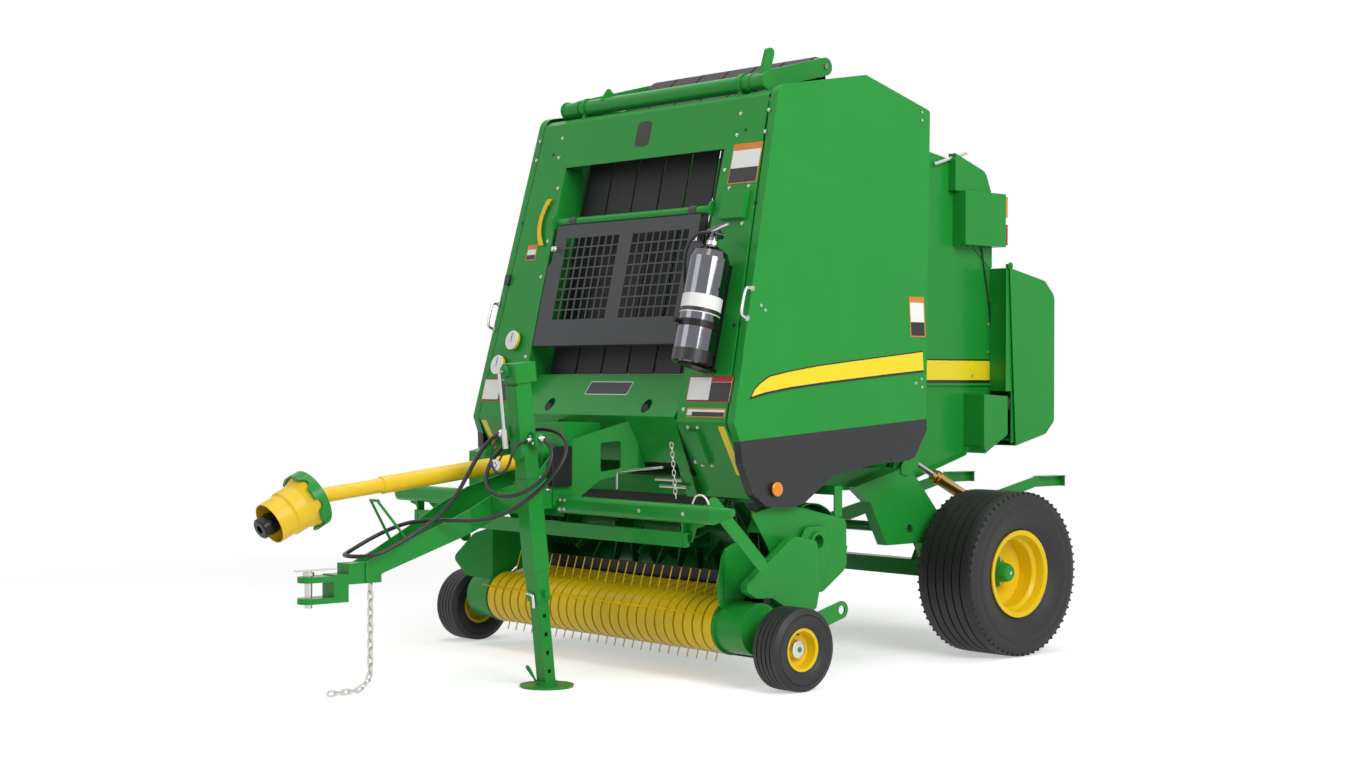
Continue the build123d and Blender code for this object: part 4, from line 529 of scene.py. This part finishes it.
# zinc catches on the screen door
catch = bmesh.new()
for x in (-507, 507):
    prism(catch, FRONT, box_outline(x - 17, x + 17, 818, 842, 3), 26, 32)
    lathe(catch, on(FRONT, x, 830, 30), front_out, [(0, 0), (10, 0), (10, 10), (0, 12)], 20)
piece("door_catches", catch, ZINC, "screen_door", 1)

# ---------------------------------------------------------------- extinguisher
EXT = on(FRONT, 735, 228, 118)
up_front = FRONT[2]
turned("extinguisher_label", EXT, up_front, [(88, 218), (88.7, 218.5), (88.7, 299.5), (88, 300)],
       LABEL_WHITE, "chassis", 64, closed=True)
turned("extinguisher_label_panel", EXT, up_front, [(88.2, 222), (89, 222.4), (89, 240), (88.2, 240.4)],
       LABEL_BLACK, "chassis", 64, closed=True)
turned("extinguisher_base", EXT, up_front, [(88.2, 4), (89.2, 5), (89.2, 58), (88.2, 59)], LABEL_BLACK,
       "chassis", 64, closed=True)
turned("extinguisher_neck", EXT, up_front, [(23, 530), (27, 532), (27, 550), (23, 552)], ZINC,
       "chassis", 32, closed=True)
lever = [EXT + (FRONT[1] * a + up_front * b + front_out * c) * MM
         for a, b, c in ((-30, 582, 14), (10, 592, 16), (60, 610, 14), (92, 622, 10))]
pipe("extinguisher_lever", lever, 7, ZINC, "chassis")
nozzle = [EXT + (FRONT[1] * a + up_front * b + front_out * c) * MM
          for a, b, c in ((-6, 586, 20), (-30, 584, 40), (-70, 560, 60), (-98, 500, 62), (-100, 420, 50),
                          (-97, 330, 30))]
pipe("extinguisher_hose", nozzle, 8, HOSE, "chassis")

# ---------------------------------------------------------------- side shields, gate, lamp cables and hoses
side_out = SHIELD[3]
for side, sign in (("left", 1), ("right", -1)):
    flip = Vector((sign, 1, 1))
    heads = [(-445, 1448), (-447, 1410), (-1547, 507), (-1523, 487), (-569, 171), (-528, 190), (-527, 153)]
    places = [(on(SHIELD, a, b, 0.5) * flip, side_out * flip) for a, b in heads]
    bolts("shield_bolts_" + side, places, 7, ZINC, "shield_" + side)
    edge = [(-350, 1470), (-350, 1560), (-350, 1700), (-300, 1900), (330, 1460), (330, 1600), (330, 1720),
            (200, 1340)]
    bolts("gate_bolts_" + side, [(on(GATE, a, b, 0.5) * flip, Vector((sign, 0, 0))) for a, b in edge], 8,
          ZINC, "gate")
    reflector = on(SHIELD, -1508, -290, 13) * flip
    turned("reflector_" + side, reflector, side_out * flip, [(0, 0), (31, 0), (31, 6), (26, 9), (0, 10)],
           AMBER, "shield_" + side, 36)
    cable = [spot(sign * x, y, z) for x, y, z in ((634, 217, 2246), (636, 226, 2160), (628, 262, 1990),
                                                  (624, 306, 1800), (624, 330, 1690), (624, 346, 1570))]
    pipe("lamp_cable_" + side, cable, 4, LABEL_BLACK, "gate")
    rod = [spot(sign * 640, -112, 2373), spot(sign * 640, 127, 2445)]
    pipe("strut_rod_" + side, rod, 9, ZINC, "gate", order=2)


LONG_ROUTE = [
    (300, -2462, 1100), (243, -2512, 1062), (215, -2575, 950), (185, -2625, 835),
    (152, -2690, 742), (124, -2790, 672), (112, -2896, 618), (110, -2988, 580), (46, -3052, 576),
    (-46, -3052, 576), (-110, -2988, 580), (-112, -2885, 628), (-94, -2796, 668), (-38, -2745, 697),
    (38, -2722, 710), (112, -2690, 716), (182, -2640, 716), (255, -2575, 714), (340, -2520, 738),
    (430, -2485, 785), (505, -2425, 860), (545, -2360, 945), (540, -2312, 1030), (475, -2300, 1088),
    (385, -2328, 1108), (300, -2375, 1088), (256, -2455, 1022), (262, -2530, 945), (300, -2570, 862),
    (380, -2555, 818), (462, -2495, 835), (524, -2430, 898), (540, -2398, 985), (512, -2388, 1052),
    (452, -2398, 1068)]
SHORT_ROUTE = [
    (430, -2421, 1062), (436, -2478, 1056), (440, -2532, 1022), (440, -2545, 964),
    (402, -2548, 922), (344, -2548, 920), (304, -2545, 962), (302, -2540, 1020), (310, -2512, 1072),
    (318, -2482, 1088)]
for name, route, thickness in (("hose_long", LONG_ROUTE, 18.0), ("hose_short", SHORT_ROUTE, 11.0)):
    points = [spot(*place) for place in route]
    hose = pipe(name + "_line", points, thickness / 2, HOSE, "chassis")
    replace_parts(hose, name)
    for place, after in ((points[0], points[1]), (points[-1], points[-2])):
        turned(name + "_ferrule", place, after - place,
                              [(thickness / 2, 1), (thickness / 2 + 3, 2), (thickness / 2 + 3, 26),
                               (thickness / 2 + 1, 30), (thickness / 2, 30)],
                              ZINC, "chassis", 24, closed=True)

# ---------------------------------------------------------------- pickup: folded edges of the bands
BAND_AXIS, BAND_EDGE = (-1620, 246), 120.4
REEL_AXIS, REEL_CLEAR = (-1620, 282), 84
BANDS, BAND_PITCH, BAND_HALF = 26, 62.5, 25.2


def band_edges():
    """The folded edges of the bands, which reach in as far as the reel leaves room."""
    mesh = bmesh.new()
    steps = 40
    for number in range(BANDS):
        middle = (number - (BANDS - 1) / 2) * BAND_PITCH
        for x in (middle - BAND_HALF, middle + BAND_HALF):
            rows = []
            for i in range(steps + 1):
                angle = radians(-75 + 330 * i / steps)
                way = (cos(angle), sin(angle))
                lift = BAND_AXIS[1] - REEL_AXIS[1]
                across = way[1] * lift
                inner = -across + (across ** 2 - lift ** 2 + REEL_CLEAR ** 2) ** 0.5
                inner = min(inner, BAND_EDGE - 3)
                rows.append([mesh.verts.new(spot(x, BAND_AXIS[0] + way[0] * r, BAND_AXIS[1] + way[1] * r))
                             for r in (inner, BAND_EDGE)])
            for low, high in zip(rows, rows[1:]):
                mesh.faces.new((low[0], low[1], high[1], high[0]))
    made = piece("band_edges", mesh, YELLOW, "pickup")
    thick = made.modifiers.new("sheet", "SOLIDIFY")
    thick.thickness = 1.2 * MM
    thick.offset = 0


band_edges()

# ---------------------------------------------------------------- recess over the rotor
RIGHT_X = face_of((0, 0, 0), (0, 1, 0), (0, 0, 1))
# A black sheet behind the reel: painted shade inside the pickup.
slab("reel_painted_shade_sheet", RIGHT_X, [(-1412, 80), (-1409, 80), (-1409, 455), (-1412, 455)], -790, 790,
     BLACK_PAINT, "pickup")
# A near-black sheet at the back of the recess: painted shade.
slab("painted_shade_recess_back", RIGHT_X, [(-1478, 700), (-1474, 700), (-1504, 800), (-1508, 800)], -560, 560, PAINTED_SHADE,
     "chassis")
pipe("recess_rod", [spot(225, -1782, 822), spot(225, -1782, 880), spot(226, -1782, 902),
                    spot(250, -1782, 904), spot(400, -1782, 918), spot(540, -1782, 931)], 6, ZINC, "chassis")
for name, x, z in (("recess_shaft_a", 330, 868), ("recess_shaft_b", 360, 838)):
    turned(name, spot(x, -1640, z), (1, 0, 0), [(0, 0), (9, 0), (9, 180), (0, 180)], ZINC, "chassis", 20)


links("recess_chain", [spot(628, -1812, 1040), spot(640, -1812, 960), spot(660, -1812, 790)], 5, 30, 19,
      ZINC, "chassis")
loop = [spot(1008, -2030, 802), spot(1020, -2030, 832), spot(1055, -2030, 843), spot(1092, -2030, 832),
        spot(1108, -2030, 803)]
pipe("guard_loop", loop, 4, LABEL_WHITE, "chassis")

# ---------------------------------------------------------------- jack and its fittings
PLUG, PLUG_OUT = spot(282, -2500, 951), (0.4, -1, 0)
turned("plug_cap", PLUG, PLUG_OUT, [(0, -6), (20, -6), (24, 0), (24, 12), (19, 15), (0, 15)],
       LABEL_WHITE, "chassis", 28)
# Black rods in the cap's six holes: painted shade inside the holes.
caps = bmesh.new()
for i in range(6):
    side = Vector((cos(radians(60 * i)), 0.4 * cos(radians(60 * i)), sin(radians(60 * i))))
    lathe(caps, PLUG + side * 11 * MM, PLUG_OUT, [(0, 0), (3, 0), (3, 15.8), (0, 15.8)], 12)
piece("plug_cap_painted_shade", caps, LABEL_BLACK, "chassis")
pipe("cap_lead", [spot(282, -2490, 960), spot(300, -2470, 1000), spot(310, -2470, 1062)], 4, LABEL_BLACK,
     "chassis")
slab("hose_holder", RIGHT_X, box_outline(-2100, -1990, 838, 1020, 12), 140, 162, LABEL_BLACK, "chassis", 3)
LEAN = radians(6.6)
JACK_X, JACK_Y = 373, -2295                # foot of the jack's middle line


def on_jack(a, b, up):
    """A place beside the jack: across, ahead and up its leaning tube."""
    return spot(JACK_X + a, JACK_Y - b * cos(LEAN) - up * sin(LEAN), up * cos(LEAN) - b * sin(LEAN))


pipe("foot_loop", [on_jack(-60, 10, 20), on_jack(-84, 22, 60), on_jack(-96, 30, 84), on_jack(-70, 34, 88),
                   on_jack(-30, 36, 30), on_jack(-20, 34, 18)], 5, GREEN, "jack_leg")
pipe("jack_pin", [on_jack(-22, 40, 412), on_jack(14, 42, 408), on_jack(20, 44, 392), on_jack(18, 44, 352)], 7,
     ZINC, "chassis")
clamps = [(spot(420, -2424, 1075), Vector((0, -1, 0))), (spot(440, -2424, 1046), Vector((0, -1, 0))),
          (spot(318, -2484, 1108), Vector((0, -1, 0)))]
bolts("clamp_bolts", clamps, 8, ZINC, "chassis")
frame_heads = [(spot(132, y, z), Vector((1, 0, 0))) for y, z in ((-1830, 880), (-1830, 1050), (-2150, 800),
                                                                 (-2150, 880), (-1990, 1000), (-2240, 780))]
frame_heads += [(spot(x, -2060, z), Vector((0, -1, 0))) for x in (165, 195) for z in (742, 782)]
frame_heads += [(spot(x, -2058, 760), Vector((0, -1, 0))) for x in (700, 980)]
bolts("frame_bolts", frame_heads, 9, ZINC, "chassis")

# ---------------------------------------------------------------- floor, light and camera
def seen(tree):
    """One where a surface is looked at, straight or in metal and glass, and nought where it lights others."""
    path = add(tree, "ShaderNodeLightPath")
    direct = add(tree, "ShaderNodeMath", {"operation": "MAXIMUM"},
                 {0: path.outputs["Is Camera Ray"], 1: path.outputs["Is Glossy Ray"]})
    every = add(tree, "ShaderNodeMath", {"operation": "MAXIMUM"},
                {0: direct.outputs[0], 1: path.outputs["Is Transmission Ray"]})
    return every.outputs[0]


bpy.ops.mesh.primitive_plane_add(size=160, location=(0, 0, 0))
floor = bpy.context.object
floor.name = "floor"
ground = bpy.data.materials.new("white_floor")
ground.use_nodes = True
tree = ground.node_tree
tree.nodes.clear()
place = add(tree, "ShaderNodeTexCoord").outputs["Object"]
away = add(tree, "ShaderNodeVectorMath", {"operation": "LENGTH"})
tree.links.new(place, away.inputs[0])
fade = add(tree, "ShaderNodeMapRange", {"From Min": 3.2, "From Max": 6.5}, {"Value": away.outputs["Value"]})
matt = add(tree, "ShaderNodeBsdfDiffuse", {"Color": linear("F0F0F0")})
glow = add(tree, "ShaderNodeEmission", {"Color": (1, 1, 1, 1), "Strength": 0.47})
bright = add(tree, "ShaderNodeEmission", {"Color": (1, 1, 1, 1), "Strength": 1.0})
lit = add(tree, "ShaderNodeAddShader", links={0: matt.outputs[0], 1: glow.outputs[0]})
faded = add(tree, "ShaderNodeMixShader", links={0: fade.outputs["Result"], 1: lit.outputs[0],
                                                2: bright.outputs[0]})
shown = add(tree, "ShaderNodeMixShader", links={0: seen(tree), 1: matt.outputs[0], 2: faded.outputs[0]})
add(tree, "ShaderNodeOutputMaterial", links={"Surface": shown.outputs[0]})
floor.data.materials.append(ground)

world = bpy.data.worlds.new("studio")
scene.world = world
world.use_nodes = True
sky = world.node_tree
sky.nodes.clear()
room = add(sky, "ShaderNodeBackground", {"Color": (1, 1, 1, 1), "Strength": 0.23})
white = add(sky, "ShaderNodeBackground", {"Color": (1, 1, 1, 1), "Strength": 1.0})
both = add(sky, "ShaderNodeMixShader", links={0: seen(sky), 1: room.outputs[0], 2: white.outputs[0]})
add(sky, "ShaderNodeOutputWorld", links={"Surface": both.outputs[0]})


def softbox(name, place, aim, size, watts):
    lamp = bpy.data.lights.new(name, "AREA")
    lamp.shape = "RECTANGLE"
    lamp.size, lamp.size_y = size
    lamp.energy = watts
    holder = bpy.data.objects.new(name, lamp)
    scene.collection.objects.link(holder)
    holder.location = place
    way = Vector(aim) - Vector(place)
    holder.rotation_euler = way.to_track_quat("-Z", "Y").to_euler()


softbox("key", (8.5, -1.5, 5.5), (0, 0, 1.2), (5, 4), 520)
softbox("front", (-2.0, -9.0, 5.0), (0, -0.5, 1.2), (5, 4), 130)
softbox("top", (0, 0.5, 8.0), (0, 0, 0), (7, 7), 300)

lens = bpy.data.cameras.new("camera")
lens.sensor_width = 36.0
lens.lens = 53.83
lens.shift_x = -0.00063
lens.shift_y = 0.00213
camera = bpy.data.objects.new("camera", lens)
scene.collection.objects.link(camera)
camera.matrix_world = (Matrix.Translation((7.2753, -7.6837 + AXLE, 1.3163))
                       @ Matrix.Rotation(0.841494, 4, "Z") @ Matrix.Rotation(pi / 2 - 0.003607, 4, "X")
                       @ Matrix.Rotation(0.002824, 4, "Z"))
scene.camera = camera
scene.view_settings.view_transform = "Standard"
